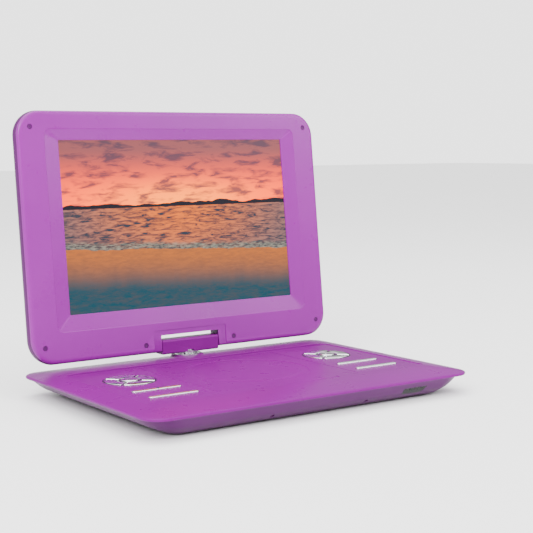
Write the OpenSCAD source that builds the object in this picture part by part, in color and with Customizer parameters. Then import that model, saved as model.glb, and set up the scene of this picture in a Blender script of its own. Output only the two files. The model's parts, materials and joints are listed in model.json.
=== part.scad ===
// Portable disc player with a swivelling, folding screen.
// The base lies flat, its front rim along X; the screen stands on a hinge block at the rear.

/* [Base] */
// Width of the base across its rim
base_w = 409; // [400:1:414]
// Depth of the base from front rim to back rim
base_d = 291; // [289:1:293]
// Corner radius of the rim
corner_r = 22; // [18:1:26]
// Height of the rim plane above the surface the feet stand on
rim_z = 23.5; // [23.5:0.5:25]
// How much higher the middle of the deck is than its rim
deck_crown = 5; // [4.6:0.1:5]
// Wall thickness of the base shells
shell_t = 2.2; // [1.8:0.1:2.4]
// Height of the rubber feet
foot_h = 2.5; // [2:0.1:2.5]

/* [Disc] */
// Distance from the front rim to the middle of the disc
disc_y = 144; // [143:0.5:145]
// Width of the disc lid
lid_w = 180; // [178:1:180]
// Front edge of the disc lid, from the front rim
lid_front = 56; // [56:0.5:58]
// Rear edge of the disc lid, from the front rim
lid_rear = 226; // [225:0.5:226]
// Thickness of the disc lid
lid_t = 2.6; // [2.4:0.1:2.6]
// Radius of the well that takes a disc
well_r = 62; // [61.5:0.5:64]

/* [Keys] */
// Middle of each round key group, sideways from the middle
pad_x = 132; // [130:1:134]
// Middle of each round key group, from the front rim
pad_y = 171; // [169:1:172]
// Outer radius of the ring of keys
ring_r = 27; // [25:0.5:27]
// Inner radius of the ring of keys
ring_inner_r = 12.5; // [12:0.5:13]
// Radius of the round key in the middle of the ring
centre_r = 9.5; // [8.5:0.5:9.5]
// How far the keys stand above their panel
key_up = 1.4; // [1:0.1:1.6]
// How far a key travels
key_travel = 0.7; // [0.5:0.1:0.7]
// Length of a bar-shaped key slot
bar_l = 58; // [54:1:58]
// Width of a bar-shaped key
bar_w = 7; // [6:0.5:7.5]
// Middle of the rear row of bar keys, from the front rim
bar_y_rear = 114; // [113:1:116]
// Middle of the front row of bar keys, from the front rim
bar_y_front = 80; // [79:1:84]

/* [Screen] */
// Width of the screen unit
screen_w = 402; // [400:1:404]
// Height of the screen unit above its tilt axis
screen_top = 273.5; // [272:0.5:274]
// Height of the screen unit below its tilt axis
screen_below = 6; // [5.5:0.5:6]
// Thickness of the screen unit
screen_t = 19; // [18:0.5:19]
// Corner radius of the screen unit
screen_r = 28; // [24:1:30]
// Width of the picture area
picture_w = 303.8; // [300:0.1:306]
// Height of the picture area
picture_h = 195; // [192:0.5:196]
// Bottom of the picture above the tilt axis
picture_z = 46; // [45:0.5:47]
// How far the screen leans back from upright, in degrees
lean = 6.4; // [0:0.1:10]

/* [Hinge] */
// Tilt axis, from the front rim
axis_y = 269.2; // [269:0.1:269.4]
// Tilt axis, above the rim plane
axis_up = 16.9; // [16.8:0.1:17.4]
// Width of the hinge block
block_w = 77; // [76:0.5:77]
// Radius of the tilt shafts
shaft_r = 2.5; // [2.3:0.1:2.6]
// Radius of the swivel post
post_r = 6; // [5.5:0.1:6.2]
// Radial clearance of a running fit
run = 0.04; // [0.02:0.01:0.08]
// Gap left around a piece that moves past another
gap = 0.4; // [0.35:0.05:0.45]

/* [Hidden] */

$fn = 96;
hull_fn = 32;
thin = 0.01;

purple = [0.62, 0.22, 0.64];
purple_dark = [0.42, 0.18, 0.45];
chrome = [0.86, 0.87, 0.9];
steel = [0.7, 0.71, 0.73];
black = [0.1, 0.1, 0.11];
board_green = [0.12, 0.36, 0.2];

// The whole object is moved so that its origin is below the middle of its box.
rear_reach = 307.8;

tray_z = foot_h;
floor_z = tray_z + shell_t;
lip_z = rim_z - 3;
deck_top = rim_z + deck_crown;
panel_z = rim_z + 3;
panel_t = 2.2;
panel_under = panel_z - panel_t;
panel_half_w = 178;
panel_front = lid_front - 3;
panel_rear = 232;
board_z = panel_under - 4.1;
board_t = 1.2;
// The flange that keeps a key below its hole
flange_t = 0.8;

// Side inset, front inset and height of each level of the tray, from the bottom up
tray_levels = [[32, 18, tray_z], [17.5, 9.5, tray_z + 6.5], [8.5, 5, tray_z + 12], [1.2, 1.2, lip_z]];
// Inset, height and thickness of each level of the deck, from the lip up
deck_levels = [
  [1.2, lip_z, thin], [0, lip_z + 0.8, 1.1], [1, rim_z, thin],
  [10, rim_z + 0.32 * deck_crown, thin], [24, rim_z + 0.68 * deck_crown, thin], [44, deck_top - thin, thin]
];

axis_z = rim_z + axis_up;
half_t = screen_t / 2;
split_y = -5;

// Heights of the drive mechanism
chassis_z = 9;
chassis_t = 1;
rod_z = 12.4;
rod_r = 1.4;
rod_offset = 22;
sled_travel = 34;
sled_y = disc_y - 24;
screw_x = -30;
screw_z = 12.4;
screw_r = 1.45;
disc_plane = 19.8;
well_floor = 16;

lid_axis_y = lid_rear - lid_t / 2;
lid_axis_z = panel_z - lid_t / 2;
pin_r = 0.7;

latch_x = 34;
latch_w = 38;
latch_travel = 1.5;
spring_seat = 43;
spring_pitch = 0.8;

port_y0 = 95;
port_y1 = 200;
port_face = 193;
switch_y = 177;
switch_travel = 3;
wheel_x = 188.6;
wheel_y = 191.9;
wheel_r = 5.4;
wheel_bore = 1.2;
signal_y = [108, 122, 136];
power_y = 152;
jack_z = 12.4;
usb_y = 168;

module placed() {
  translate([0, -rear_reach / 2, 0]) children();
}

// The screen unit is drawn about its tilt axis: X sideways, Y to its back, Z up its height.
module on_screen() {
  placed() translate([0, axis_y, axis_z]) rotate([-lean, 0, 0]) children();
}

module on_axis() {
  placed() translate([0, axis_y, axis_z]) children();
}

module rounded(x0, y0, x1, y1, r) {
  translate([x0 + r, y0]) square([x1 - x0 - 2 * r, y1 - y0]);
  translate([x0, y0 + r]) square([x1 - x0, y1 - y0 - 2 * r]);
  for (x = [x0 + r, x1 - r], y = [y0 + r, y1 - r]) translate([x, y]) circle(r);
}

module rim_outline(side, front) {
  rounded(-base_w / 2 + side, front, base_w / 2 - side, base_d - front, max(corner_r - 0.4 * side, 8));
}

// A plate in the XZ plane that reaches from y0 to y1
module upright(y0, y1) {
  translate([0, y1, 0]) rotate([90, 0, 0]) linear_extrude(y1 - y0) children();
}

// A rod along X from x0 to x1
module rod_x(x0, x1, r, y = 0, z = 0) {
  translate([x0, y, z]) rotate([0, 90, 0]) cylinder(r = r, h = x1 - x0);
}

// A rod along Y from y0 to y1
module rod_y(y0, y1, r, x = 0, z = 0) {
  translate([x, y1, z]) rotate([90, 0, 0]) cylinder(r = r, h = y1 - y0);
}

module disc(x, y, z, r, h) {
  translate([x, y, z]) cylinder(r = r, h = h);
}

module block(x0, x1, y0, y1, z0, z1) {
  translate([x0, y0, z0]) cube([x1 - x0, y1 - y0, z1 - z0]);
}

// ---------------------------------------------------------------- base shells

module tray_form(wall) {
  hull() for (l = tray_levels) {
    low = l[2] == tray_z;
    high = l[2] == lip_z;
    translate([0, 0, l[2] + (low ? wall : high && wall > 0 ? 1 : -thin)])
      linear_extrude(thin) rim_outline(l[0] + wall, l[1] + wall, $fn = hull_fn);
  }
}

// Where the two base shells are screwed together
seat_z = 11.4;
post_z = 13.6;
screw_shank = 1.3;
screw_posts = [[-60, 12.5], [60, 12.5], [-185, 128], [185, 60], [-60, base_d - 12.5], [60, base_d - 12.5]];
damper_places = [[-38, 70], [38, 70], [-38, 166], [38, 166]];
foot_places = [[-150, 42], [150, 42], [-150, base_d - 42], [150, base_d - 42]];

module speaker_slots(x) {
  for (i = [-4:4]) block(x + 4 * i - 0.9, x + 4 * i + 0.9, 31, 47, tray_z - 1, floor_z + 1);
}

module base_tray() placed() color(purple_dark) {
  difference() {
    tray_form(0);
    tray_form(shell_t);
    block(170, 206, port_y0 - gap, port_y1 + gap, 5.4, 19.4);
    for (p = screw_posts) disc(p[0], p[1], tray_z - 1, 2.6, seat_z - tray_z + 1);
    speaker_slots(-120);
    speaker_slots(120);
    block(-160, -60, 84, 200, tray_z - 1, tray_z + 0.4);
    ir_form(0);
  }
  for (p = damper_places) disc(p[0], p[1], floor_z - thin, 2, 2.4);
  difference() {
    intersection() {
      for (p = screw_posts) disc(p[0], p[1], tray_z, 4.2, post_z - gap - tray_z);
      tray_form(0);
    }
    for (p = screw_posts) {
      disc(p[0], p[1], tray_z - 1, 2.6, seat_z - tray_z + 1);
      disc(p[0], p[1], tray_z - 1, 1.5, 20);
    }
  }
}

module deck_form(drop, side) {
  hull() for (l = deck_levels)
    translate([0, 0, l[1] - drop])
      linear_extrude(l[2]) rim_outline(l[0] + side, l[0] + side, $fn = hull_fn);
}

module ring_key_plan(turn, grow) {
  web = 1.3 - grow;
  intersection() {
    difference() {
      circle(ring_r + grow);
      circle(ring_inner_r - grow);
    }
    rotate(turn) polygon([
      [web * sqrt(2), 0], [ring_r * 1.5 + web * sqrt(2), ring_r * 1.5],
      [ring_r * 1.5 + web * sqrt(2), -ring_r * 1.5]
    ]);
  }
}

// A bar-shaped key from x0 to x1 across its slot; the ends of the slot are round
module bar_plan(x0, x1, grow) {
  intersection() {
    rounded(-bar_l / 2 - grow, -bar_w / 2 - grow, bar_l / 2 + grow, bar_w / 2 + grow, bar_w / 2 + grow - 0.01);
    translate([x0 - grow, -bar_w]) square([x1 - x0 + 2 * grow, 2 * bar_w]);
  }
}

module key_holes(side) {
  translate([side * pad_x, pad_y, panel_under - 1]) {
    for (t = [0:90:270]) linear_extrude(4) ring_key_plan(t, gap);
    cylinder(r = centre_r + gap, h = 4);
  }
  translate([side * pad_x, pad_y, panel_z - 0.5]) cylinder(r = ring_r + 2, h = 1);
  for (y = [bar_y_rear, bar_y_front])
    translate([side * pad_x, y, panel_under - 1]) linear_extrude(4) bar_plan(-bar_l / 2, bar_l / 2, gap);
}

boss_r = 19;
boss_z = rim_z + 5.1;
neck_r = 9;

module base_deck() placed() color(purple) {
  difference() {
    union() {
      difference() {
        deck_form(0, 0);
        deck_form(shell_t, 2.4);
        block(-panel_half_w, panel_half_w, panel_front, panel_rear, panel_z, deck_top + 1);
      }
      block(-panel_half_w - 2, panel_half_w + 2, panel_front - 2, panel_rear + 2, panel_under, panel_z);
      for (s = [-1, 1]) {
        block(s * 94 - 3.4, s * 94 + 3.4, lid_axis_y - 4, lid_axis_y + 4, 21, panel_z);
      }
      disc(0, axis_y, panel_under - 2, boss_r, boss_z - panel_under + 2);
      for (p = screw_posts) disc(p[0], p[1], post_z, 3.6, rim_z + 1.2 - post_z);
      block(latch_x - 16, latch_x + 16, spring_seat - 1.4, spring_seat, 19.4, panel_z + 1);
    }
    block(-lid_w / 2 - 0.5, lid_w / 2 + 0.5, lid_front - 0.5, lid_rear + 0.5, 15, deck_top + 1);
    key_holes(-1);
    key_holes(1);
    for (s = [-1, 1]) rod_x(s * 94 - 5, s * 94 + 5, pin_r + run, lid_axis_y, lid_axis_z);
    disc(0, axis_y, panel_under - 3, neck_r, 12);
    block(latch_x - latch_w / 2 - gap, latch_x + latch_w / 2 + gap, 46.5, panel_front, 20, deck_top + 1);
    block(latch_x - 7, latch_x + 7, 46, lid_front, 20, panel_z + 0.01);
    for (p = screw_posts) disc(p[0], p[1], post_z - 1, screw_shank + 0.05, 9.5);
  }
}

module port_panel() placed() color(purple_dark) {
  difference() {
    block(176, port_face, port_y0, port_y1, 5.8, 19);
    block(175, port_face - 1.8, port_y0 + 2, port_y1 - 2, 7.6, 17.2);
    for (y = signal_y) rod_x(port_face - 3, port_face + 1, 4, y, jack_z);
    rod_x(port_face - 3, port_face + 1, 5, power_y, jack_z);
    block(port_face - 3, port_face + 1, usb_y - 7.4, usb_y + 7.4, 9, 15.8);
    block(port_face - 3, port_face + 1, switch_y - gap, switch_y + 3 + switch_travel + gap, 10.4, 14.4);
    block(port_face - 3, port_face + 1, wheel_y - 5.2, wheel_y + 5.2, 11, 13.8);
  }
  disc(wheel_x, wheel_y, 7, wheel_bore - run, 11);
}

module rubber_feet() placed() color(black) {
  for (p = foot_places) {
    disc(p[0], p[1], 0, 9, foot_h);
  }
}

module base_screws() placed() color(steel) {
  for (p = screw_posts) {
    disc(p[0], p[1], seat_z - thin, screw_shank, 10.4);
    difference() {
      disc(p[0], p[1], seat_z - 1.6, 2.3, 1.6);
      block(p[0] - 1.6, p[0] + 1.6, p[1] - 0.3, p[1] + 0.3, seat_z - 3, seat_z - 0.8);
      block(p[0] - 0.3, p[0] + 0.3, p[1] - 1.6, p[1] + 1.6, seat_z - 3, seat_z - 0.8);
    }
  }
}

// ---------------------------------------------------------------- disc drive

module disc_well() placed() color(black) {
  top = panel_under;
  difference() {
    union() {
      block(-94, 94, lid_front - 3, 218, well_floor, top);
      block(-88, 88, 217, lid_rear + 3, well_floor, top);
    }
    disc(0, disc_y, well_floor + 1.4, well_r, 20);
    block(-lid_w / 2 - 0.5, lid_w / 2 + 0.5, lid_front - 0.5, lid_rear, panel_z - lid_t - gap, top + 1);
    block(-lid_w / 2 + 1, lid_w / 2 - 1, lid_front + 1, lid_rear, top - 1.6, top + 1);
    for (s = [-1, 1]) block(s * 76 - 11, s * 76 + 11, lid_front - 0.5, 214, well_floor - 1, top - 3.2);
    disc(0, disc_y, well_floor - 1, 17, 4);
    rounded_slot(-27, 27, sled_y - sled_travel - 14, disc_y, well_floor - 1, 4);
    block(latch_x - 8, latch_x + 8, lid_front - 4, lid_front + 8, well_floor - 1, top + 1);
  }
}

module rounded_slot(x0, x1, y0, y1, z, h) {
  translate([0, 0, z]) linear_extrude(h) rounded(x0, y0, x1, y1, 4);
}

module mech_chassis() placed() color(steel) {
  difference() {
    union() {
      translate([0, 0, chassis_z]) linear_extrude(chassis_t) rounded(-46, 62, 46, 176, 5);
      for (s = [-1, 1], y = [72, 134.5])
        block(s * rod_offset - 3, s * rod_offset + 3, y, y + 3, chassis_z, rod_z + 2.4);
      block(screw_x - 3, screw_x + 3, 72, 75, chassis_z, screw_z + 2.4);
    }
    for (s = [-1, 1]) rod_y(71, 139, rod_r, s * rod_offset, rod_z);
    rod_y(71, 76, screw_r + run, screw_x, screw_z);
    disc(0, disc_y, chassis_z - 1, 3.25, 4);
    block(screw_x - 4.1, screw_x + 4.1, 134, 150, chassis_z - 1, chassis_z + chassis_t + 1);
    rounded_slot(-16, 16, 78, 128, chassis_z - 1, 4);
    for (p = damper_places) disc(p[0], p[1], chassis_z - 1, 2.65, 4);
  }
}

module spindle_motor() placed() color(steel) {
  difference() {
    union() {
      disc(0, disc_y, 5.4, 13, chassis_z - 5.4);
      disc(0, disc_y, chassis_z, 3.2, 3);
    }
    disc(0, disc_y, 6, 1 + run, 10);
  }
}

module spindle_hub() placed() color(chrome) {
  disc(0, disc_y, 6.4, 1, disc_plane - 6);
  disc(0, disc_y, disc_plane - 1.4, 14.5, 1.4);
  disc(0, disc_y, disc_plane, 7.3, 1.2);
  translate([0, disc_y, disc_plane + 1.2]) cylinder(r1 = 7.3, r2 = 5.2, h = 1);
}

module laser_sled() placed() color(black) {
  difference() {
    union() {
      block(-18, 18, sled_y - 13, sled_y + 13, 10.6, 14);
      for (s = [-1, 1]) {
        block(s * 20 - 2.5, s * 20 + 2.5, sled_y - 10, sled_y + 10, 10.6, 14);
        rod_y(sled_y - 10, sled_y + 10, 2, s * rod_offset, rod_z);
      }
      block(screw_x - 3, -20, sled_y - 3, sled_y + 3, 10.6, 14);
      block(-9, 9, sled_y - 8, sled_y + 8, 13.9, 16);
    }
    for (s = [-1, 1]) rod_y(sled_y - 20, sled_y + 20, rod_r + run, s * rod_offset, rod_z);
    rod_y(sled_y - 20, sled_y + 20, screw_r + run, screw_x, screw_z);
    disc(0, sled_y, 12, 3.6, 10);
  }
}

module objective_lens() placed() color([0.3, 0.5, 0.8]) {
  disc(0, sled_y, 14.6, 3.1, 2);
  translate([0, sled_y, 16.6]) cylinder(r1 = 2.4, r2 = 1.6, h = 0.6);
}

module guide_rods() placed() color(chrome) {
  for (s = [-1, 1]) rod_y(71, 138.5, rod_r, s * rod_offset, rod_z);
}

module lead_screw() placed() color(steel) {
  difference() {
    rod_y(71.5, 137, screw_r, screw_x, screw_z);
    for (i = [0:12]) {
      y = 78 + 4 * i;
      translate([screw_x, y, screw_z]) rotate([90, 0, 0]) rotate_extrude()
        translate([screw_r - 0.2, -0.3]) square([1, 0.6]);
    }
  }
}

module sled_motor() placed() color(steel) {
  difference() {
    rod_y(135, 149, 3.6, screw_x, screw_z);
    rod_y(134, 139, screw_r + run, screw_x, screw_z);
  }
}

module mech_dampers() placed() color(black) {
  for (p = damper_places) difference() {
    union() {
      disc(p[0], p[1], floor_z, 4.6, chassis_z - floor_z);
      disc(p[0], p[1], chassis_z - thin, 2.6, 1.6);
    }
    disc(p[0], p[1], floor_z - 1, 2.02, 4);
  }
}

module disc_lid() placed() color(purple) {
  half = lid_w / 2;
  difference() {
    union() {
      translate([0, 0, panel_z - lid_t]) linear_extrude(lid_t) lid_plan(half);
      rod_x(-half, half, lid_t / 2, lid_axis_y, lid_axis_z);
      block(latch_x - 4, latch_x + 4, lid_front + 0.6, lid_front + 2.4, panel_z - 6.5, panel_z - lid_t + thin);
      for (x = [-78, 78])
        block(x - 0.8, x + 0.8, lid_front + 6, lid_rear - 14, panel_z - lid_t - 0.8, panel_z - 2);
    }
    translate([0, disc_y, panel_z - 0.5]) difference() {
      cylinder(r = 69, h = 1);
      translate([0, 0, -1]) cylinder(r = 60, h = 3);
    }
    block(latch_x - 2.6, latch_x + 2.6, lid_front, lid_front + 3, panel_z - 5.6, panel_z - 3.8);
    for (s = [-1, 1]) rod_x(s * (half - 3) - 5, s * (half - 3) + 5, pin_r, lid_axis_y, lid_axis_z);
  }
}

module lid_plan(half) {
  front_r = 6;
  translate([-half, lid_front + front_r]) square([2 * half, lid_axis_y - lid_front - front_r]);
  translate([-half + front_r, lid_front]) square([2 * half - 2 * front_r, front_r + 1]);
  for (s = [-1, 1]) translate([s * (half - front_r), lid_front + front_r]) circle(front_r);
}

module disc_lid_pins() placed() color(steel) {
  for (s = [-1, 1]) rod_x(s * 90.5 - 4.5, s * 90.5 + 4.5, pin_r, lid_axis_y, lid_axis_z);
}

// A torsion spring beside the lid's left hinge pin
module disc_lid_spring() placed() color(steel) {
  translate([-100.5, lid_axis_y, lid_axis_z - 3.8]) rotate([0, 90, 0]) for (i = [0:3])
    translate([0, 0, i * 0.9]) rotate_extrude() translate([2, 0]) circle(0.4, $fn = 24);
}

module lid_latch() placed() color(purple) {
  x0 = latch_x - latch_w / 2;
  x1 = latch_x + latch_w / 2;
  block(x0, x1, 48.4, 52.6, panel_z - 2, deck_top - 0.1);
  for (s = [-1, 0, 1]) block(latch_x + 12 * s - 3, latch_x + 12 * s + 3, 48.4, 51, 19.4, panel_z - 1.9);
  block(latch_x - 2.2, latch_x + 2.2, 50.9, lid_front + 0.2, 21.2, 22.2);
}

module latch_spring() placed() color(steel) {
  for (s = [-1, 1]) for (i = [0:3]) translate([latch_x + 12 * s, spring_seat + 0.4 + i * spring_pitch, 21.8])
    rotate([90, 0, 0]) rotate_extrude() translate([1.6, 0]) circle(0.35, $fn = 24);
}

// ---------------------------------------------------------------- electronics

module main_board() placed() color(board_green) {
  translate([0, 0, 7]) linear_extrude(1.6) rounded(52, 62, 166, 226, 2);
  block(70, 100, 150, 180, 8.6, 11);
  block(112, 128, 190, 206, 8.6, 10.4);
  block(112, 128, 110, 140, 8.6, 10);
  for (y = [80, 92, 104]) disc(68, y, 8.6, 3, 7);
  for (p = [[58, 70], [160, 216], [58, 218]]) disc(p[0], p[1], floor_z, 2.4, 7 - floor_z);
}

module battery_pack() placed() color(black) {
  translate([0, 0, floor_z]) linear_extrude(10) rounded(-160, 72, -56, 208, 6);
}

module speakers() placed() color(black) {
  for (s = [-1, 1]) {
    difference() {
      translate([0, 0, floor_z]) linear_extrude(1.4) rounded(s * 120 - 23, 26, s * 120 + 23, 52, 6);
      disc(s * 120, 39, floor_z - 1, 10.5, 4);
    }
    translate([s * 120, 39, floor_z + 1.2]) cylinder(r1 = 11.5, r2 = 5, h = 3.2);
    disc(s * 120, 39, floor_z + 4.3, 9, 3);
  }
}

module key_board(side) placed() color(board_green) {
  x = side * pad_x;
  translate([0, 0, board_z]) linear_extrude(board_t) rounded(x - 33, 64, x + 33, 216, 2);
  for (p = key_points) translate([x + p[0], p[1], board_z + board_t - thin]) {
    cylinder(r = 3, h = 0.5);
    cylinder(r = 1.6, h = 0.9 + thin);
  }
  for (y = [68, 210]) block(x - 31, x - 28, y - 2, y + 2, board_z + board_t - thin, panel_under);
}

ring_mid = (ring_r + ring_inner_r) / 2;
bar_slot_half = bar_l / 2;
key_points = [
  for (t = [0:90:270]) [ring_mid * cos(t), pad_y + ring_mid * sin(t)],
  [0, pad_y], [-15, bar_y_rear], [15, bar_y_rear], [0, bar_y_front]
];

module key_board_left() key_board(-1);
module key_board_right() key_board(1);

module ring_key(side, turn) placed() color(chrome) translate([side * pad_x, pad_y, 0]) {
  top = panel_z + key_up;
  translate([0, 0, panel_under - gap]) linear_extrude(top - panel_under + gap) ring_key_plan(turn, 0);
  translate([0, 0, panel_under - gap - flange_t]) linear_extrude(flange_t) intersection() {
    ring_key_plan(turn, 0.7);
    circle(ring_r + 1);
  }
}

module round_key(side) placed() color(chrome) translate([side * pad_x, pad_y, 0]) {
  top = panel_z + key_up + 0.3;
  translate([0, 0, panel_under - gap]) cylinder(r = centre_r, h = top - panel_under + gap);
  translate([0, 0, panel_under - gap - flange_t]) cylinder(r = centre_r + 1, h = flange_t);
}

module bar_key(side, y, x0, x1) placed() color(chrome) translate([side * pad_x, y, 0]) {
  top = panel_z + key_up;
  translate([0, 0, panel_under - gap]) linear_extrude(top - panel_under + gap) bar_plan(x0, x1, 0);
  translate([0, 0, panel_under - gap - flange_t]) linear_extrude(flange_t) intersection() {
    bar_plan(-bar_slot_half, bar_slot_half, 1);
    translate([x0 > -bar_slot_half ? x0 : x0 - 1, -bar_w])
      square([x1 - x0 + (x0 > -bar_slot_half ? 0 : 1) + (x1 < bar_slot_half ? 0 : 1), 2 * bar_w]);
  }
}

bar_gap = 0.25;
module nav_key_right() ring_key(-1, 0);
module nav_key_up() ring_key(-1, 90);
module nav_key_left() ring_key(-1, 180);
module nav_key_down() ring_key(-1, 270);
module nav_key_enter() round_key(-1);
module menu_key() bar_key(-1, bar_y_rear, -bar_slot_half, -bar_gap);
module title_key() bar_key(-1, bar_y_rear, bar_gap, bar_slot_half);
module mode_key() bar_key(-1, bar_y_front, -bar_slot_half, bar_slot_half);
module next_key() ring_key(1, 0);
module pause_key() ring_key(1, 90);
module previous_key() ring_key(1, 180);
module stop_key() ring_key(1, 270);
module play_key() round_key(1);
module setup_key() bar_key(1, bar_y_rear, -bar_slot_half, -bar_gap);
module display_key() bar_key(1, bar_y_rear, bar_gap, bar_slot_half);
module subtitle_key() bar_key(1, bar_y_front, -bar_slot_half, bar_slot_half);

// The window follows the slope of the front wall
module ir_form(shrink) {
  hull() {
    upright(11.6, 14.6) polygon([
      [107 + shrink, 8 + shrink], [136.5 - shrink, 8 + shrink], [138 - shrink, 11], [107 + shrink, 11]
    ]);
    upright(6.6, 9.6) polygon([
      [107 + shrink, 11], [138 - shrink, 11], [140 - shrink, 15 - shrink], [107 + shrink, 15 - shrink]
    ]);
  }
}

module ir_window() placed() color(black) {
  intersection() {
    ir_form(0.1);
    tray_form(0);
  }
}

module signal_jacks() placed() color(black) {
  for (y = signal_y) difference() {
    union() {
      block(port_face - 15, port_face - 1.8, y - 5, y + 5, 7.8, 17);
      rod_x(port_face - 2, port_face + 0.6, 3.6, y, jack_z);
    }
    rod_x(port_face - 14, port_face + 1, 1.8, y, jack_z);
  }
}

module power_jack() placed() color(black) {
  difference() {
    union() {
      block(port_face - 15, port_face - 1.8, power_y - 5.6, power_y + 5.6, 7.8, 17);
      rod_x(port_face - 2, port_face + 0.4, 4.6, power_y, jack_z);
    }
    rod_x(port_face - 12, port_face + 1, 2.8, power_y, jack_z);
  }
  rod_x(port_face - 12.5, port_face - 2, 0.8, power_y, jack_z);
}

module usb_socket() placed() color(steel) {
  difference() {
    block(port_face - 15, port_face, usb_y - 7, usb_y + 7, 9.4, 15.4);
    block(port_face - 14, port_face + 1, usb_y - 6.4, usb_y + 6.4, 10, 14.8);
  }
  block(port_face - 14.2, port_face - 1.5, usb_y - 5.4, usb_y + 5.4, 13, 14.4);
}

module power_switch() placed() color(black) {
  block(port_face - 4.6, port_face - 1.8 - gap, switch_y - 0.6, switch_y + 3.6, 9.8, 15);
  block(port_face - 2.3, port_face + 1.2, switch_y, switch_y + 3, 10.8, 14);
}

module volume_wheel() placed() color(black) {
  difference() {
    disc(wheel_x, wheel_y, 11.4, wheel_r, 2);
    disc(wheel_x, wheel_y, 11, wheel_bore, 4);
    for (a = [0:20:340]) translate([wheel_x, wheel_y, 11]) rotate(a) translate([wheel_r + 0.1, 0])
      cylinder(r = 0.4, h = 4);
  }
}

// ---------------------------------------------------------------- swivel and tilt hinge

ring_z = boss_z;
ring_flange_t = 1.2;
ring_bottom = panel_under - 2.4;

module swivel_ring() placed() color(steel) {
  difference() {
    union() {
      disc(0, axis_y, ring_z, 16, ring_flange_t);
      disc(0, axis_y, ring_bottom, neck_r, ring_z - ring_bottom);
      for (a = [90:120:330]) disc(12.4 * cos(a), axis_y + 12.4 * sin(a), ring_z, 2.1, 1.8);
    }
    disc(0, axis_y, ring_bottom - 1, post_r + run, 20);
    for (a = [90:120:330]) translate([12.4 * cos(a), axis_y + 12.4 * sin(a), ring_z + 1.3])
      for (b = [0, 90]) rotate(b) block(-1.5, 1.5, -0.25, 0.25, 0, 2);
  }
}

block_low = axis_z - 9;
post_top = block_low + 1.6;

module swivel_post() placed() color(chrome) {
  difference() {
    union() {
      disc(0, axis_y, ring_bottom - 2, post_r, post_top - ring_bottom + 2);
      disc(0, axis_y, block_low - 0.6, 9.5, 2.2);
      disc(0, axis_y, ring_bottom - 1.9, 8.6, 1.5);
    }
    disc(0, axis_y, 10, cable_r, 40);
  }
}

bracket_half = 29;
cable_r = 3.5;

module hinge_bracket() on_axis() color(steel) {
  base_z = post_top - axis_z;
  difference() {
    union() {
      block(-bracket_half, bracket_half, -6, 6, base_z, base_z + 1.5);
      for (x = [-bracket_half, bracket_half - 3]) block(x, x + 3, -6, 6, base_z, 5.4);
    }
    rod_x(-40, 40, shaft_r + run);
    disc(0, 0, -20, cable_r, 20);
  }
}

block_t = 1.5;

// Half of the hinge block's cover; half = -1 is the front, 1 the rear
module hinge_cover(half) on_axis() color(purple) {
  w = block_w / 2;
  intersection() {
    difference() {
      translate([-w, 0, 0]) rotate([90, 0, 90]) linear_extrude(block_w) rounded(-9, -9, 9, 8, 2.5);
      translate([-w + block_t, 0, 0]) rotate([90, 0, 90]) linear_extrude(block_w - 2 * block_t)
        rounded(-9 + block_t, -9 + block_t, 9 - block_t, 8 - block_t, 1);
      rod_x(-50, 50, shaft_r + gap);
      disc(0, 0, -12, 9.9, 5);
    }
    block(-50, 50, half < 0 ? -20 : 0, half < 0 ? 0 : 20, -20, 20);
  }
}

module hinge_cover_front() hinge_cover(-1);
module hinge_cover_rear() hinge_cover(1);

barrel_r = 4.4;
barrel_x = 45.1;
leaf_screw_x = [50, 66];
leaf_screw_z = 16;

module tilt_shafts() on_screen() color(chrome) {
  for (s = [-1, 1]) {
    rod_x(s * 35.5 - 12.5, s * 35.5 + 12.5, shaft_r);
    rod_x(s * 33.5 - 1.5, s * 33.5 + 1.5, shaft_r + 1.6);
    rod_x(s * 24.2 - 1.2, s * 24.2 + 1.2, shaft_r + 1.2);
  }
}

module hinge_leaves() on_screen() color(steel) {
  for (s = [-1, 1]) difference() {
    union() {
      rod_x(s * barrel_x - 2.9, s * barrel_x + 2.9, barrel_r);
      block(s * barrel_x - 2.9, s * barrel_x + 2.9, 1.8, 4.4, 0, 12);
      block(s * 58 - 16, s * 58 + 16, 2.6, 4.4, 4.6, 24);
    }
    rod_x(s * barrel_x - 10, s * barrel_x + 10, shaft_r);
    for (x = leaf_screw_x) rod_y(0, 10, 1.6, s * x, leaf_screw_z);
  }
}

// ---------------------------------------------------------------- screen unit

notch_half = 39.5;
notch_top = 13;

module screen_plan(inset) {
  rounded(-screen_w / 2 + inset, -screen_below + inset, screen_w / 2 - inset, screen_top - inset,
          max(screen_r - inset, 12));
}

module notch(y0, y1) {
  upright(y0, y1) translate([-notch_half, -30]) square([2 * notch_half, 30 + notch_top]);
}

// Walls around the notch, which close the shell towards the hinge block
module notch_walls(y0, y1) {
  t = 1.8;
  upright(y0, y1) difference() {
    translate([-notch_half - t, -screen_below]) square([2 * (notch_half + t), screen_below + notch_top + t]);
    translate([-notch_half, -30]) square([2 * notch_half, 30 + notch_top]);
  }
}

plug_places = [[-186, 255.5], [186, 255.5], [-186, 12.5], [186, 12.5], [-60.5, 3.5], [60.5, 3.5]];
plug_r = 3;
recess_half = 169.5;

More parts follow.
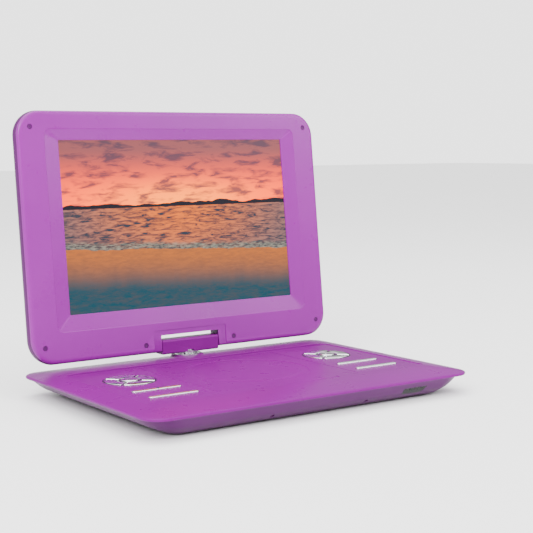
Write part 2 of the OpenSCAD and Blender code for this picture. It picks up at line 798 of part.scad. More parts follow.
module front_bezel() on_screen() color(purple) {
  difference() {
    union() {
      difference() {
        hull() {
          upright(split_y - thin, split_y) screen_plan(0, $fn = hull_fn);
          upright(-half_t + 2.2, -half_t + 2.2 + thin) screen_plan(0.3, $fn = hull_fn);
          upright(-half_t + 0.6, -half_t + 0.6 + thin) screen_plan(1.5, $fn = hull_fn);
          upright(-half_t, -half_t + thin) screen_plan(3.5, $fn = hull_fn);
        }
        upright(-half_t + 4, split_y + 1) screen_plan(2.2);
      }
      notch_walls(-half_t + 2, split_y);
    }
    hull() {
      upright(-half_t - 0.5, -half_t)
        rounded(-recess_half, picture_z - 18, recess_half, picture_z + 207, 8, $fn = hull_fn);
      upright(-half_t + 3, -half_t + 3.1)
        rounded(-picture_w / 2, picture_z, picture_w / 2, picture_z + picture_h, 1, $fn = hull_fn);
    }
    upright(-half_t - 1, 0) rounded(-picture_w / 2, picture_z, picture_w / 2, picture_z + picture_h, 1);
    upright(-half_t - 1, -half_t + 1) translate([-49.5, -30]) square([99, 49]);
    notch(-20, 20);
    for (p = plug_places) rod_y(-half_t - 1, -half_t + 2, plug_r, p[0], p[1]);
    rod_x(-60, 60, shaft_r + gap);
  }
}

module lid_back_cover() on_screen() color(purple_dark) {
  difference() {
    union() {
      difference() {
        hull() {
          upright(split_y, split_y + thin) screen_plan(0, $fn = hull_fn);
          upright(1, 1 + thin) screen_plan(-1, $fn = hull_fn);
          upright(6, 6 + thin) screen_plan(2.4, $fn = hull_fn);
          upright(half_t - 1, half_t - 1 + thin) screen_plan(7, $fn = hull_fn);
          upright(half_t - thin, half_t) screen_plan(12, $fn = hull_fn);
        }
        hull() {
          upright(split_y - 1, split_y) screen_plan(2.2, $fn = hull_fn);
          upright(4, 4 + thin) screen_plan(3.2, $fn = hull_fn);
          upright(half_t - 2 - thin, half_t - 2) screen_plan(13, $fn = hull_fn);
        }
      }
      notch_walls(split_y, half_t - 1.4);
      for (s = [-1, 1], x = leaf_screw_x) rod_y(4.4, half_t - 1, 3, s * x, leaf_screw_z);
    }
    notch(-20, 20);
    rod_x(-60, 60, shaft_r + gap);
    for (s = [-1, 1]) rod_x(s * barrel_x - 3.2, s * barrel_x + 3.2, barrel_r + 0.2);
  }
}

module lcd_panel() on_screen() color([0.12, 0.14, 0.2]) {
  upright(split_y, split_y + 1.6)
    translate([-picture_w / 2 - 4, picture_z - 4]) square([picture_w + 8, picture_h + 8]);
}

module lcd_chassis() on_screen() color([0.85, 0.85, 0.83]) {
  upright(split_y + 1.6, split_y + 6)
    rounded(-picture_w / 2 - 7, picture_z - 7, picture_w / 2 + 7, picture_z + picture_h + 7, 3);
  for (s = [-1, 1], z = [70, 220])
    upright(split_y, split_y + 1.6) translate([s * 163 - 5, z - 5]) square([10, 10]);
}

module screen_board() on_screen() color(board_green) {
  upright(2.2, 3.4) rounded(-70, 70, 70, 160, 2);
  upright(3.3, 5.4) for (x = [-40, 10, 44]) translate([x, 100]) square([16, 16]);
  for (x = [-62, 62], z = [78, 152]) rod_y(1, 2.3, 2.5, x, z);
}

module screw_plugs() on_screen() color(purple_dark) {
  for (p = plug_places) rod_y(-half_t - 0.3, -half_t + 2, plug_r - 0.05, p[0], p[1]);
}

base_tray();
base_deck();
port_panel();
rubber_feet();
base_screws();
disc_well();
mech_chassis();
spindle_motor();
spindle_hub();
laser_sled();
objective_lens();
guide_rods();
lead_screw();
sled_motor();
mech_dampers();
disc_lid();
disc_lid_pins();
disc_lid_spring();
lid_latch();
latch_spring();
main_board();
battery_pack();
speakers();
key_board_left();
key_board_right();
nav_key_right();
nav_key_up();
nav_key_left();
nav_key_down();
nav_key_enter();
menu_key();
title_key();
mode_key();
next_key();
pause_key();
previous_key();
stop_key();
play_key();
setup_key();
display_key();
subtitle_key();
ir_window();
signal_jacks();
power_jack();
usb_socket();
power_switch();
volume_wheel();
swivel_ring();
swivel_post();
hinge_bracket();
hinge_cover_front();
hinge_cover_rear();
tilt_shafts();
hinge_leaves();
front_bezel();
lid_back_cover();
lcd_panel();
lcd_chassis();
screen_board();
screw_plugs();
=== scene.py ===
"""Looks of the portable disc player: detailed shells, keys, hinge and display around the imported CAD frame."""
import json
import math

import bmesh
import bpy
from mathutils import Matrix, Vector
from mathutils.geometry import tessellate_polygon


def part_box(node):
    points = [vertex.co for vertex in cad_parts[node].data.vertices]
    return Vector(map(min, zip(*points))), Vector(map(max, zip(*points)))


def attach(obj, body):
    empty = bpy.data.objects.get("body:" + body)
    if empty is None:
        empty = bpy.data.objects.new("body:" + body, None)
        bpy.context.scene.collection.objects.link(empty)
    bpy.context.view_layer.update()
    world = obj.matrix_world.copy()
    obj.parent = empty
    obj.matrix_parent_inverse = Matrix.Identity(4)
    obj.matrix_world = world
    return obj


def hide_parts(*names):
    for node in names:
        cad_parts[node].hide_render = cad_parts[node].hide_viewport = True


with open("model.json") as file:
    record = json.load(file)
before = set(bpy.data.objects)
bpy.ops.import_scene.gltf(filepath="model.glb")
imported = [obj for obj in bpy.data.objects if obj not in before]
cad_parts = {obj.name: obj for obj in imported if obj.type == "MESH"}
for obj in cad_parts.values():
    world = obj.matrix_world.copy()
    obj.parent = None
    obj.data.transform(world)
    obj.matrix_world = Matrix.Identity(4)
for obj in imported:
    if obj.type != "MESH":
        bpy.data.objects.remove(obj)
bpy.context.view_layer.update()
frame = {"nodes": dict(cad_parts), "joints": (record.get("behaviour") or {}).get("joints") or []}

MM = 0.001
NODES = frame["nodes"]
JOINTS = {joint["name"]: joint for joint in frame["joints"]}

# ---------------------------------------------------------------- places taken from the frame

FRONT_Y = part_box("base_deck")[0].y
BASE = Matrix.Translation((0, FRONT_Y, 0))
TILT = JOINTS["screen_tilt"]
AXIS = Vector(TILT["pos_m"])
LEAN = -TILT["range_deg"][0] - 90
SCREEN = Matrix.Translation(AXIS) @ Matrix.Rotation(math.radians(-LEAN), 4, "X")
BLOCK = Matrix.Translation(AXIS)


def low(node, axis):
    """A node's low end along an axis, in mm; along Y it is measured from the front rim."""
    return (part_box(node)[0][axis] - (FRONT_Y if axis == 1 else 0)) / MM


def high(node, axis):
    """A node's high end along an axis, in mm; along Y it is measured from the front rim."""
    return (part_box(node)[1][axis] - (FRONT_Y if axis == 1 else 0)) / MM


def middle(node, axis):
    return (low(node, axis) + high(node, axis)) / 2


# Sizes in mm. On the base X is sideways, Y runs back from the front rim, Z is up from the table.
HALF_W = high("base_deck", 0)
DEPTH = high("base_deck", 1)
LIP_Z = round(high("base_tray", 2), 1)
RIM_Z = LIP_Z + 3
TRAY_Z = low("base_tray", 2)
SHELL = 2.2
CORNER = 22
TRAY_CORNER = 40
CROWN = 5
CROWN_REACH = 44
PANEL_Z = RIM_Z + 3
PANEL_UNDER = PANEL_Z - 2.2
RECESS = (-178, 53, 178, 232)
LID_FRONT = low("disc_lid", 1)
LID_REAR = high("disc_lid", 1)
LID_HALF = high("disc_lid", 0)
LID_T = 2.6
DISC_Y = middle("spindle_hub", 1)
PAD_X = middle("play_key", 0)
PAD_Y = middle("play_key", 1)
KEY_TOP = PANEL_Z + 1.4
KEY_BOTTOM = PANEL_UNDER - 1.2
FLANGE_T = 0.8
RING_OUT = 27
RING_IN = 12.5
CENTRE_R = 9.5
HOLE_GAP = 0.4
BAR_HALF = 29
BAR_R = 3.5
BAR_ROWS = (middle("display_key", 1), middle("subtitle_key", 1))
QUARTERS = (0, 90, 180, 270)
AXIS_Y = (AXIS.y - FRONT_Y) / MM
SWIVEL_TOP = RIM_Z + 5.1

# On the screen unit X is sideways, Y runs to its back and Z up its height, all from the tilt axis.
SCREEN_HALF = 201
SCREEN_TOP = 273.5
SCREEN_LOW = -6
SCREEN_R = 28
FACE_Y = -9.5
SPLIT_Y = -5
PICTURE = (-151.9, 46, 151.9, 241)
PICTURE_HIGH = PICTURE[3] - PICTURE[1]
BEVEL = (-169.5, 28, 169.5, 253)
NOTCH_HALF = 39.5
NOTCH_TOP = 13
SHAFT_BORE_R = 2.9
PLUG_R = 2.9
PLUG_PLACES = [(-186, 255.5), (186, 255.5), (-186, 12.5), (186, 12.5), (-60.5, 3.5), (60.5, 3.5)]

# ---------------------------------------------------------------- mesh tools


class Shell:
    """Points and faces of a closed form, made from rings that are bridged and capped. All in mm."""

    def __init__(self):
        self.points = []
        self.faces = []

    def ring(self, points):
        start = len(self.points)
        self.points.extend(Vector(p) for p in points)
        return list(range(start, len(self.points)))

    def bridge(self, a, b):
        for i in range(len(a)):
            j = (i + 1) % len(a)
            self.faces.append((a[i], a[j], b[j], b[i]))

    def stack(self, loops):
        rings = [self.ring(loop) for loop in loops]
        for a, b in zip(rings, rings[1:]):
            self.bridge(a, b)
        return rings

    def cap(self, *rings):
        triangles = tessellate_polygon([[self.points[i] for i in ring] for ring in rings])
        flat = [i for ring in rings for i in ring]
        self.faces.extend(tuple(flat[k] for k in triangle) for triangle in triangles)

    def fan(self, ring):
        """A cap of a nearly flat round ring, with a point in its middle."""
        middle_point = sum((self.points[i] for i in ring), Vector()) / len(ring)
        self.points.append(middle_point)
        last = len(self.points) - 1
        for i in range(len(ring)):
            self.faces.append((ring[i], ring[(i + 1) % len(ring)], last))

    def closed(self, loops):
        rings = self.stack(loops)
        self.cap(rings[0])
        self.cap(rings[-1])
        return self

    def box(self, x0, x1, y0, y1, z0, z1):
        corners = [(x0, y0), (x1, y0), (x1, y1), (x0, y1)]
        return self.closed([[(x, y, z) for x, y in corners] for z in (z0, z1)])

    def turned(self, x, y, profile, count=64):
        """A solid turned about an upright line at x, y. The profile is (radius, height) from one end to the other."""
        rings = self.stack([circle(x, y, z, r, count) for r, z in profile])
        self.fan(rings[0])
        self.fan(rings[-1])
        return self

    def rod_x(self, x0, x1, r):
        """A round bar along the X axis."""
        return self.closed([[(x, y, z) for y, z, _ in circle(0, 0, 0, r, 32)] for x in (x0, x1)])

    def build(self, name, place=BASE):
        mesh = bpy.data.meshes.new(name)
        mesh.from_pydata([p * MM for p in self.points], [], self.faces)
        piece = linked(name, mesh)
        piece.matrix_world = place
        turn_faces_out(mesh)
        return piece


def linked(name, data):
    """A new object in the scene for a mesh, a light or a camera."""
    made = bpy.data.objects.new(name, data)
    bpy.context.scene.collection.objects.link(made)
    return made


def turn_faces_out(mesh):
    form = bmesh.new()
    form.from_mesh(mesh)
    bmesh.ops.remove_doubles(form, verts=form.verts, dist=1e-7)
    bmesh.ops.recalc_face_normals(form, faces=form.faces)
    form.to_mesh(mesh)
    form.free()


def circle(x, y, z, r, count=64):
    turns = [math.tau * i / count for i in range(count)]
    return [(x + r * math.cos(t), y + r * math.sin(t), z) for t in turns]


def rounded(x0, y0, x1, y1, radii, corner=8, along=1, up=1):
    """Outline of a rectangle with round corners, counter-clockwise from the low right one.

    The sides along Y have `up` parts and those along X have `along`, so that outlines of any size match point by point.
    """
    if not isinstance(radii, (tuple, list)):
        radii = (radii,) * 4
    corners = [(x1, y0, -1, 1, -90), (x1, y1, -1, -1, 0), (x0, y1, 1, -1, 90), (x0, y0, 1, 1, 180)]
    arcs = []
    for (cx, cy, sx, sy, start), r in zip(corners, radii):
        mid_x, mid_y = cx + sx * r, cy + sy * r
        turn = [math.radians(start + 90 * i / corner) for i in range(corner + 1)]
        arcs.append([(mid_x + r * math.cos(t), mid_y + r * math.sin(t)) for t in turn])
    points = []
    for i, arc in enumerate(arcs):
        points += arc
        following = arcs[(i + 1) % 4][0]
        parts = up if i % 2 == 0 else along
        for k in range(1, parts):
            share = k / parts
            points.append((arc[-1][0] * (1 - share) + following[0] * share,
                           arc[-1][1] * (1 - share) + following[1] * share))
    return points


def grown(rect, amount):
    return rect[0] - amount, rect[1] - amount, rect[2] + amount, rect[3] + amount


def at_height(points, z):
    return [(x, y, z) for x, y in points]


def upright(points, y):
    """Points of an outline in X and Z, set at a depth y."""
    return [(x, y, z) for x, z in points]


def mixed(a, b, share):
    return [(p[0] * (1 - share) + q[0] * share, p[1] * (1 - share) + q[1] * share) for p, q in zip(a, b)]


def combine(piece, tool, operation):
    """Cuts a piece with a tool, joins them or keeps what they share. The tool is used up."""
    step = piece.modifiers.new("combine", "BOOLEAN")
    step.operation = operation
    step.solver = "EXACT"
    step.object = tool
    bpy.context.view_layer.update()
    result = bpy.data.meshes.new_from_object(piece.evaluated_get(bpy.context.evaluated_depsgraph_get()))
    piece.modifiers.clear()
    old = piece.data
    piece.data = result
    bpy.data.meshes.remove(old)
    bpy.data.objects.remove(tool)
    result.name = piece.name
    form = bmesh.new()
    form.from_mesh(result)
    bmesh.ops.remove_doubles(form, verts=form.verts, dist=2e-7)
    form.to_mesh(result)
    form.free()
    return piece


def cut(piece, tool, place=BASE):
    combine(piece, tool.build("tool", place), "DIFFERENCE")


def join(piece, tool, place=BASE):
    combine(piece, tool.build("tool", place), "UNION")


def levelled(piece):
    """Writes a tilted piece's placing into its mesh, so that its box is measured along the frame's own axes."""
    piece.data.transform(BASE.inverted() @ piece.matrix_world)
    piece.matrix_world = BASE
    return piece


def finished(piece, body, material, replaces=(), angle=32):
    """Smooths a piece, gives it its material and ties it to its body."""
    mesh = piece.data
    mesh.materials.clear()
    mesh.materials.append(material)
    mesh.polygons.foreach_set("use_smooth", [True] * len(mesh.polygons))
    mesh.set_sharp_from_angle(angle=math.radians(angle))
    even = piece.modifiers.new("even_shading", "WEIGHTED_NORMAL")
    even.keep_sharp = True
    even.weight = 80
    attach(piece, body)
    if replaces:
        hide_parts(*replaces)


# ---------------------------------------------------------------- material tools


class Look:
    """A procedural material on one shader, with short calls for the nodes it needs."""

    def __init__(self, name, **sockets):
        self.material = bpy.data.materials.new(name)
        self.material.use_nodes = True
        self.tree = self.material.node_tree
        self.shader = self.tree.nodes["Principled BSDF"]
        self.place = self.node("ShaderNodeTexCoord").outputs["Object"]
        for key, value in sockets.items():
            self.shader.inputs[key.replace("_", " ")].default_value = value

    def node(self, kind, **settings):
        made = self.tree.nodes.new(kind)
        for key, value in settings.items():
            setattr(made, key, value)
        return made

    def link(self, source, target):
        self.tree.links.new(source, target)

    def put(self, target, value):
        """Sets a socket to a number or colour, or links it to another socket."""
        if isinstance(value, bpy.types.NodeSocket):
            self.link(value, target)
        else:
            target.default_value = value

    def stretched(self, x, y, z, turn=(0, 0, 0)):
        mapping = self.node("ShaderNodeMapping")
        self.link(self.place, mapping.inputs["Vector"])
        mapping.inputs["Scale"].default_value = (x, y, z)
        mapping.inputs["Rotation"].default_value = turn
        return mapping.outputs["Vector"]

    def noise(self, scale, detail=3, rough=0.5, where=None, distortion=0):
        made = self.node("ShaderNodeTexNoise")
        self.link(where or self.place, made.inputs["Vector"])
        made.inputs["Scale"].default_value = scale
        made.inputs["Detail"].default_value = detail
        made.inputs["Roughness"].default_value = rough
        made.inputs["Distortion"].default_value = distortion
        return made.outputs["Fac"]

    def math(self, operation, a, b=0.0, c=0.0):
        made = self.node("ShaderNodeMath", operation=operation)
        for socket, value in zip(made.inputs, (a, b, c)):
            self.put(socket, value)
        return made.outputs[0]

    def ranged(self, value, low_in, high_in, low_out=0.0, high_out=1.0, smooth=False):
        made = self.node("ShaderNodeMapRange")
        if smooth:
            made.interpolation_type = "SMOOTHSTEP"
        for socket, number in zip(made.inputs, (value, low_in, high_in, low_out, high_out)):
            self.put(socket, number)
        return made.outputs["Result"]

    def mix(self, share, a, b):
        made = self.node("ShaderNodeMix", data_type="RGBA")
        self.put(made.inputs["Factor"], share)
        self.put(made.inputs[6], a if isinstance(a, bpy.types.NodeSocket) else (*a, 1))
        self.put(made.inputs[7], b if isinstance(b, bpy.types.NodeSocket) else (*b, 1))
        return made.outputs[2]

    def colour(self, value):
        self.put(self.shader.inputs["Base Color"], value)

    def rough(self, value):
        self.put(self.shader.inputs["Roughness"], value)

    def bump(self, height, strength, distance):
        made = self.node("ShaderNodeBump")
        made.inputs["Strength"].default_value = strength
        made.inputs["Distance"].default_value = distance
        self.link(height, made.inputs["Height"])
        self.link(made.outputs["Normal"], self.shader.inputs["Normal"])


def moulded(name, deep, light, rough_low, rough_high, coat, grain, grain_strength, gleam=0.5):
    """Moulded plastic: slow drift in its colour, the faint skin of the mould, a little dust in the gloss and a painted
    highlight on its sharp outer edges.
    """
    look = Look(name, Coat_Weight=coat, Coat_Roughness=0.1, IOR=1.45, Specular_IOR_Level=gleam)
    drift = look.ranged(look.noise(9, 2, 0.55), 0.35, 0.65, smooth=True)
    flow = look.noise(60, 3, 0.6, look.stretched(1, 0.18, 1))
    share = look.math("MULTIPLY_ADD", flow, 0.35, look.math("MULTIPLY", drift, 0.65))
    # Painted highlight: sharp outer edges, found by pointiness, get a lighter colour.
    edge_highlight = look.ranged(look.node("ShaderNodeNewGeometry").outputs["Pointiness"], 0.53, 0.6, 0, 0.35)
    body = look.mix(share, deep, light)
    look.colour(look.mix(edge_highlight, body, [min(1, c * 1.5 + 0.01) for c in light]))
    dust = look.math("POWER", look.noise(2600, 2, 0.7), 5)
    base_rough = look.ranged(look.noise(35, 4, 0.65), 0.3, 0.7, rough_low, rough_high)
    look.rough(look.math("ADD", base_rough, look.math("MULTIPLY", dust, 0.12)))
    fine = look.noise(grain, 2, 0.6)
    broad = look.math("MULTIPLY", look.noise(240, 2, 0.5), 0.6)
    look.bump(look.math("ADD", fine, broad), grain_strength, 0.00006)
    return look.material


def plated(name, colour, rough_low, rough_high):
    """Bright plating with hairline scratches and a faint cloudiness."""
    look = Look(name, Metallic=1.0, IOR=2.2)
    cloud = look.noise(140, 3, 0.6)
    look.colour(look.mix(cloud, colour, [c * 0.86 for c in colour]))
    hair = look.noise(900, 3, 0.7, look.stretched(1, 9, 2, (0, 0, 0.5)))
    look.rough(look.ranged(look.math("MULTIPLY_ADD", hair, 0.5, look.math("MULTIPLY", cloud, 0.5)),
                           0.3, 0.7, rough_low, rough_high))
    look.bump(hair, 0.04, 0.00004)
    return look.material


def brushed(name, colour, lines=(1, 30, 30), rough_low=0.24, rough_high=0.42):
    """Rolled or turned steel with fine lines along one way."""
    look = Look(name, Metallic=1.0)
    line = look.noise(160, 4, 0.7, look.stretched(*lines))
    blotch = look.noise(120, 3, 0.6)
    look.colour(look.mix(look.math("MULTIPLY_ADD", line, 0.6, look.math("MULTIPLY", blotch, 0.4)),
                         [c * 0.72 for c in colour], colour))
    look.rough(look.ranged(line, 0.3, 0.7, rough_low, rough_high))
    look.bump(line, 0.12, 0.00005)
    return look.material


def grained(name, deep, light, rough, grain=1500, strength=0.35):
    """Plastic or rubber with a fine grain."""
    look = Look(name, IOR=1.46)
    cell = look.node("ShaderNodeTexVoronoi")
    look.link(look.place, cell.inputs["Vector"])
    cell.inputs["Scale"].default_value = grain
    patch = look.noise(50, 4, 0.6)
    look.colour(look.mix(patch, deep, light))
    look.rough(look.ranged(patch, 0.3, 0.7, rough - 0.06, rough + 0.08))
    look.bump(look.math("ADD", cell.outputs["Distance"], look.noise(grain * 0.6, 2)), strength, 0.00008)
    return look.material


def circuit():
    """Solder mask with copper runs showing through and tinned pads."""
    look = Look("circuit_board", Coat_Weight=0.4, Coat_Roughness=0.15)
    runs = look.node("ShaderNodeTexBrick")
    look.link(look.stretched(60, 60, 60), runs.inputs["Vector"])
    for key, value in (("Scale", 6.0), ("Mortar Size", 0.035), ("Mortar Smooth", 0.2), ("Brick Width", 1.4)):
        runs.inputs[key].default_value = value
    pads = look.node("ShaderNodeTexVoronoi")
    look.link(look.place, pads.inputs["Vector"])
    pads.inputs["Scale"].default_value = 210
    pad = look.ranged(pads.outputs["Distance"], 0.16, 0.2, 1, 0)
    mask = look.mix(look.noise(70, 3), (0.012, 0.075, 0.032), (0.02, 0.12, 0.05))
    tracks = look.mix(runs.outputs["Fac"], mask, (0.05, 0.24, 0.09))
    look.colour(look.mix(pad, tracks, (0.62, 0.6, 0.52)))
    look.rough(look.ranged(look.noise(300, 2), 0.3, 0.7, 0.28, 0.45))
    look.bump(look.math("ADD", runs.outputs["Fac"], pad), 0.4, 0.00008)
    return look.material


def smoked():
    """Dark plastic that lets infrared through."""
    look = Look("smoked_window", Specular_IOR_Level=0.12)
    look.colour(look.mix(look.noise(40, 3), (0.012, 0.014, 0.013), (0.02, 0.023, 0.022)))
    look.rough(look.ranged(look.noise(700, 3), 0.3, 0.7, 0.22, 0.34))
    look.bump(look.noise(1800, 2), 0.06, 0.00005)
    return look.material


def lens():
    """Coated glass with a blue and violet sheen."""
    look = Look("coated_lens", Coat_Weight=1.0, Coat_Roughness=0.02)
    look.colour(look.mix(look.noise(500, 2), (0.03, 0.09, 0.3), (0.12, 0.05, 0.3)))
    look.rough(look.ranged(look.noise(900, 2), 0.3, 0.7, 0.04, 0.1))
    return look.material


GLOSS = moulded("gloss_purple", (0.125, 0.0, 0.135), (0.14, 0.0015, 0.15), 0.26, 0.31, 0.0, 1500, 0.03, 0.1)
BEZEL = moulded("bezel_purple", (0.18, 0.001, 0.2), (0.2, 0.003, 0.22), 0.26, 0.32, 0.04, 1300, 0.05, 0.3)
# Painted shade: the shell purple is half as light as the gloss purple, darkened for the tray walls that face down, away
# from the lights. The back cover, plugs and port panel share it.
SHADED_SHELL_LOOK = moulded("shaded_shell_purple", (0.06, 0.003, 0.068), (0.07, 0.005, 0.078), 0.32, 0.4, 0.02, 1100, 0.1, 0.18)
CHROME = plated("chrome", (0.86, 0.87, 0.9), 0.04, 0.1)
STEEL = brushed("plain_steel", (0.6, 0.61, 0.63))
TURNED = brushed("turned_steel", (0.68, 0.69, 0.71), (30, 30, 1), 0.18, 0.32)
DARK_DISH = grained("dark_dish", (0.012, 0.008, 0.014), (0.03, 0.018, 0.034), 0.3, 900, 0.15)
BLACK = grained("black_plastic", (0.012, 0.012, 0.014), (0.03, 0.03, 0.034), 0.5)
WRAP = grained("battery_wrap", (0.02, 0.03, 0.06), (0.03, 0.045, 0.09), 0.36, 500, 0.12)
CONE = grained("paper_cone", (0.03, 0.03, 0.032), (0.07, 0.07, 0.07), 0.8, 900, 0.6)
RUBBER = grained("rubber", (0.01, 0.01, 0.011), (0.024, 0.024, 0.025), 0.78, 2200, 0.5)
FRAME_PALE = grained("pale_frame", (0.6, 0.6, 0.58), (0.72, 0.72, 0.7), 0.45, 1200, 0.2)
BOARD = circuit()
WINDOW = smoked()
LENS = lens()

# ---------------------------------------------------------------- base deck


def crown_height(x, y):
    """The deck rises from its rim towards the middle and is level further in than CROWN_REACH."""
    side = max(CROWN_REACH - (HALF_W - abs(x)), 0)
    end = max(CROWN_REACH - min(y, DEPTH - y), 0)
    power = 4.4
    inward = CROWN_REACH - (side ** power + end ** power) ** (1 / power)
    share = min(max(inward, 0) / CROWN_REACH, 1)
    return RIM_Z + CROWN * (1 - (1 - share) ** 1.55)


def rim(inset, corner_r=None):
    """The outline of the base at a distance in from its rim."""
    rect = (-HALF_W + inset, inset, HALF_W - inset, DEPTH - inset)
    return rounded(*rect, corner_r or max(CORNER - 0.4 * inset, 8), corner=12, along=40, up=28)


def recess(grow):
    return rounded(*grown(RECESS, grow), 2.2 + grow, corner=12, along=40, up=28)


def sector(turn, grow, round_off=0.9):
    """Outline of a quarter of the key ring, split from its neighbours along the diagonals."""
    arc = 14
    half_web = 0.65 * math.sqrt(2) - grow + 0.27
    outer = RING_OUT + grow
    inner = RING_IN - grow
    out_end = math.pi / 4 - math.asin(half_web / outer)
    in_end = math.pi / 4 - math.asin(half_web / inner)

    def polar(r, a):
        return Vector((r * math.cos(a), r * math.sin(a)))

    def bend(before, corner, after):
        steps = [i / 4 for i in range(5)]
        return [before * (1 - t) ** 2 + corner * 2 * t * (1 - t) + after * t * t for t in steps]

    points = []
    cut_out = round_off / outer
    cut_in = round_off / inner
    for i in range(arc + 1):
        points.append(polar(outer, -(out_end - cut_out) + 2 * (out_end - cut_out) * i / arc))
    out_corner = polar(outer, out_end)
    in_corner = polar(inner, in_end)
    edge = (in_corner - out_corner).normalized()
    points += bend(points[-1], out_corner, out_corner + edge * round_off)[1:]
    points += bend(in_corner - edge * round_off, in_corner, polar(inner, in_end - cut_in))
    for i in range(1, arc + 1):
        points.append(polar(inner, (in_end - cut_in) - 2 * (in_end - cut_in) * i / arc))
    out_corner = polar(outer, -out_end)
    in_corner = polar(inner, -in_end)
    points += bend(points[-1], in_corner, in_corner - (in_corner - out_corner).normalized() * round_off)[1:]
    points += bend(out_corner + (in_corner - out_corner).normalized() * round_off, out_corner, points[0])[:-1]
    spin = Matrix.Rotation(math.radians(turn), 2)
    return [tuple(spin @ p) for p in points]


def moved(points, x, y):
    return [(p[0] + x, p[1] + y) for p in points]


def bar(x0, x1, grow):
    """Outline of a bar key. Ends at the slot's ends are round, and ends at a split are square."""
    bow = 10
    r = BAR_R + grow
    points = []
    for side, end in ((1, x1), (-1, x0)):
        if abs(abs(end) - BAR_HALF) < 0.01:
            mid = side * (BAR_HALF - BAR_R)
            points += [(mid + side * r * math.cos(t), side * r * math.sin(t))
                       for t in [math.radians(-90 + 180 * i / bow) for i in range(bow + 1)]]
        else:
            edge = end + side * grow
            points += [(edge, side * (-r + 2 * r * i / bow)) for i in range(bow + 1)]
    return points


def punch(shell, outline, top, soft=0.3):
    """A tool that cuts a hole through the panel and softens its upper edge."""
    shell.closed([
        at_height(outline(0), PANEL_UNDER - 1),
        at_height(outline(0), top - soft),
        at_height(outline(soft * 0.3), top - soft * 0.3),
        at_height(outline(soft), top),
        at_height(outline(soft), top + 3),
    ])


def deck_form():
    deck = Shell()
    lip = [(3.4, LIP_Z), (1.4, LIP_Z), (0.6, LIP_Z + 0.15), (0.12, LIP_Z + 0.6), (0, LIP_Z + 1.1), (0, LIP_Z + 1.8),
           (0.1, LIP_Z + 2.3), (0.4, LIP_Z + 2.75)]
    loops = [at_height(rim(inset, TRAY_CORNER + 3 if inset > 3 else None), z) for inset, z in lip]
    start = rim(1)
    end = recess(0.9)
    steps = 26
    for i in range(steps + 1):
        flat = mixed(start, end, i / steps)
        loops.append([(x, y, crown_height(x, y)) for x, y in flat])
    for grow, drop in ((0.55, 0.06), (0.25, 0.22), (0.05, 0.5)):
        loops.append([(x, y, crown_height(x, y) - drop) for x, y in recess(grow)])
    for grow, z in ((0, PANEL_Z + 0.22), (-0.08, PANEL_Z + 0.08), (-0.3, PANEL_Z)):
        loops.append(at_height(recess(grow), z))
    outer = deck.stack(loops)
    deck.faces.append(tuple(outer[-1]))
    under = deck.stack([at_height(recess(0), PANEL_UNDER), at_height(mixed(recess(0), rim(6), 0.5), LIP_Z + 3.1),
                        at_height(rim(5.4, TRAY_CORNER + 4), LIP_Z + 1.8),
                        at_height(rim(3.8, TRAY_CORNER + 3.5), LIP_Z + 1)])
    deck.faces.append(tuple(under[0]))
    deck.bridge(under[-1], outer[0])
    return deck.build("deck_shell")


def lid_opening(grow):
    front_r, rear_r = 6.5 + grow, 0.6 + grow
    rect = grown((-LID_HALF, LID_FRONT, LID_HALF, LID_REAR), 0.5 + grow)
    return rounded(*rect, (front_r, rear_r, rear_r, front_r))


def panel_holes():
    """Tools for the lid's opening, the bars and the two dishes, and for the finer holes inside the dishes."""
    wide, fine = Shell(), Shell()
    punch(wide, lid_opening, PANEL_Z, 0.35)
    for x in (-PAD_X, PAD_X):
        for y in BAR_ROWS:
            punch(wide, lambda grow: moved(bar(-BAR_HALF, BAR_HALF, HOLE_GAP + grow), x, y), PANEL_Z)
        wide.turned(x, PAD_Y, [(RING_OUT + 1.85, PANEL_Z - 0.5), (RING_OUT + 2, PANEL_Z - 0.35),
                               (RING_OUT + 2.1, PANEL_Z - 0.1), (RING_OUT + 2.35, PANEL_Z),
                               (RING_OUT + 2.35, PANEL_Z + 3)], 96)
        for turn in QUARTERS:
            punch(fine, lambda grow: moved(sector(turn, HOLE_GAP + grow), x, PAD_Y), PANEL_Z - 0.5, 0.12)
        punch(fine, lambda grow: [p[:2] for p in circle(x, PAD_Y, 0, CENTRE_R + HOLE_GAP + grow, 48)],
              PANEL_Z - 0.5, 0.15)
    return wide, fine


def make_deck():
    piece = deck_form()
    for holes in panel_holes():
        cut(piece, holes)
    boss = Shell().turned(0, AXIS_Y, [(19.6, 22.6), (19.6, 26.2), (19.2, SWIVEL_TOP - 1), (18.9, SWIVEL_TOP - 0.35),
                                      (18.5, SWIVEL_TOP - 0.08), (18, SWIVEL_TOP)], 96)
    join(piece, boss)
    below, above = LIP_Z - 0.5, SWIVEL_TOP + 2.4
    cut(piece, Shell().turned(0, AXIS_Y, [(9.2, below), (9.2, above)]))
    x = middle("lid_latch", 0)
    half = (high("lid_latch", 0) - low("lid_latch", 0)) / 2 + HOLE_GAP
    slot = rounded(x - half, 46.5, x + half, RECESS[1] + 0.05, 0.8, corner=4)
    cut(piece, Shell().closed([at_height(slot, below), at_height(slot, above)]))
    finished(piece, "base", GLOSS, ["base_deck"])


# ---------------------------------------------------------------- base tray

TRAY_TOP = LIP_Z - 0.02
# Side inset, front inset and height
TRAY_LEVELS = [(32, 18, TRAY_Z + 0.25), (17.5, 9.5, TRAY_Z + 6.5), (8.5, 5, TRAY_Z + 12), (1.2, 1.2, TRAY_TOP)]
TRAY_SCREWS = [(-60, 12.5), (60, 12.5), (-185, 128), (185, 60), (-60, DEPTH - 12.5), (60, DEPTH - 12.5)]


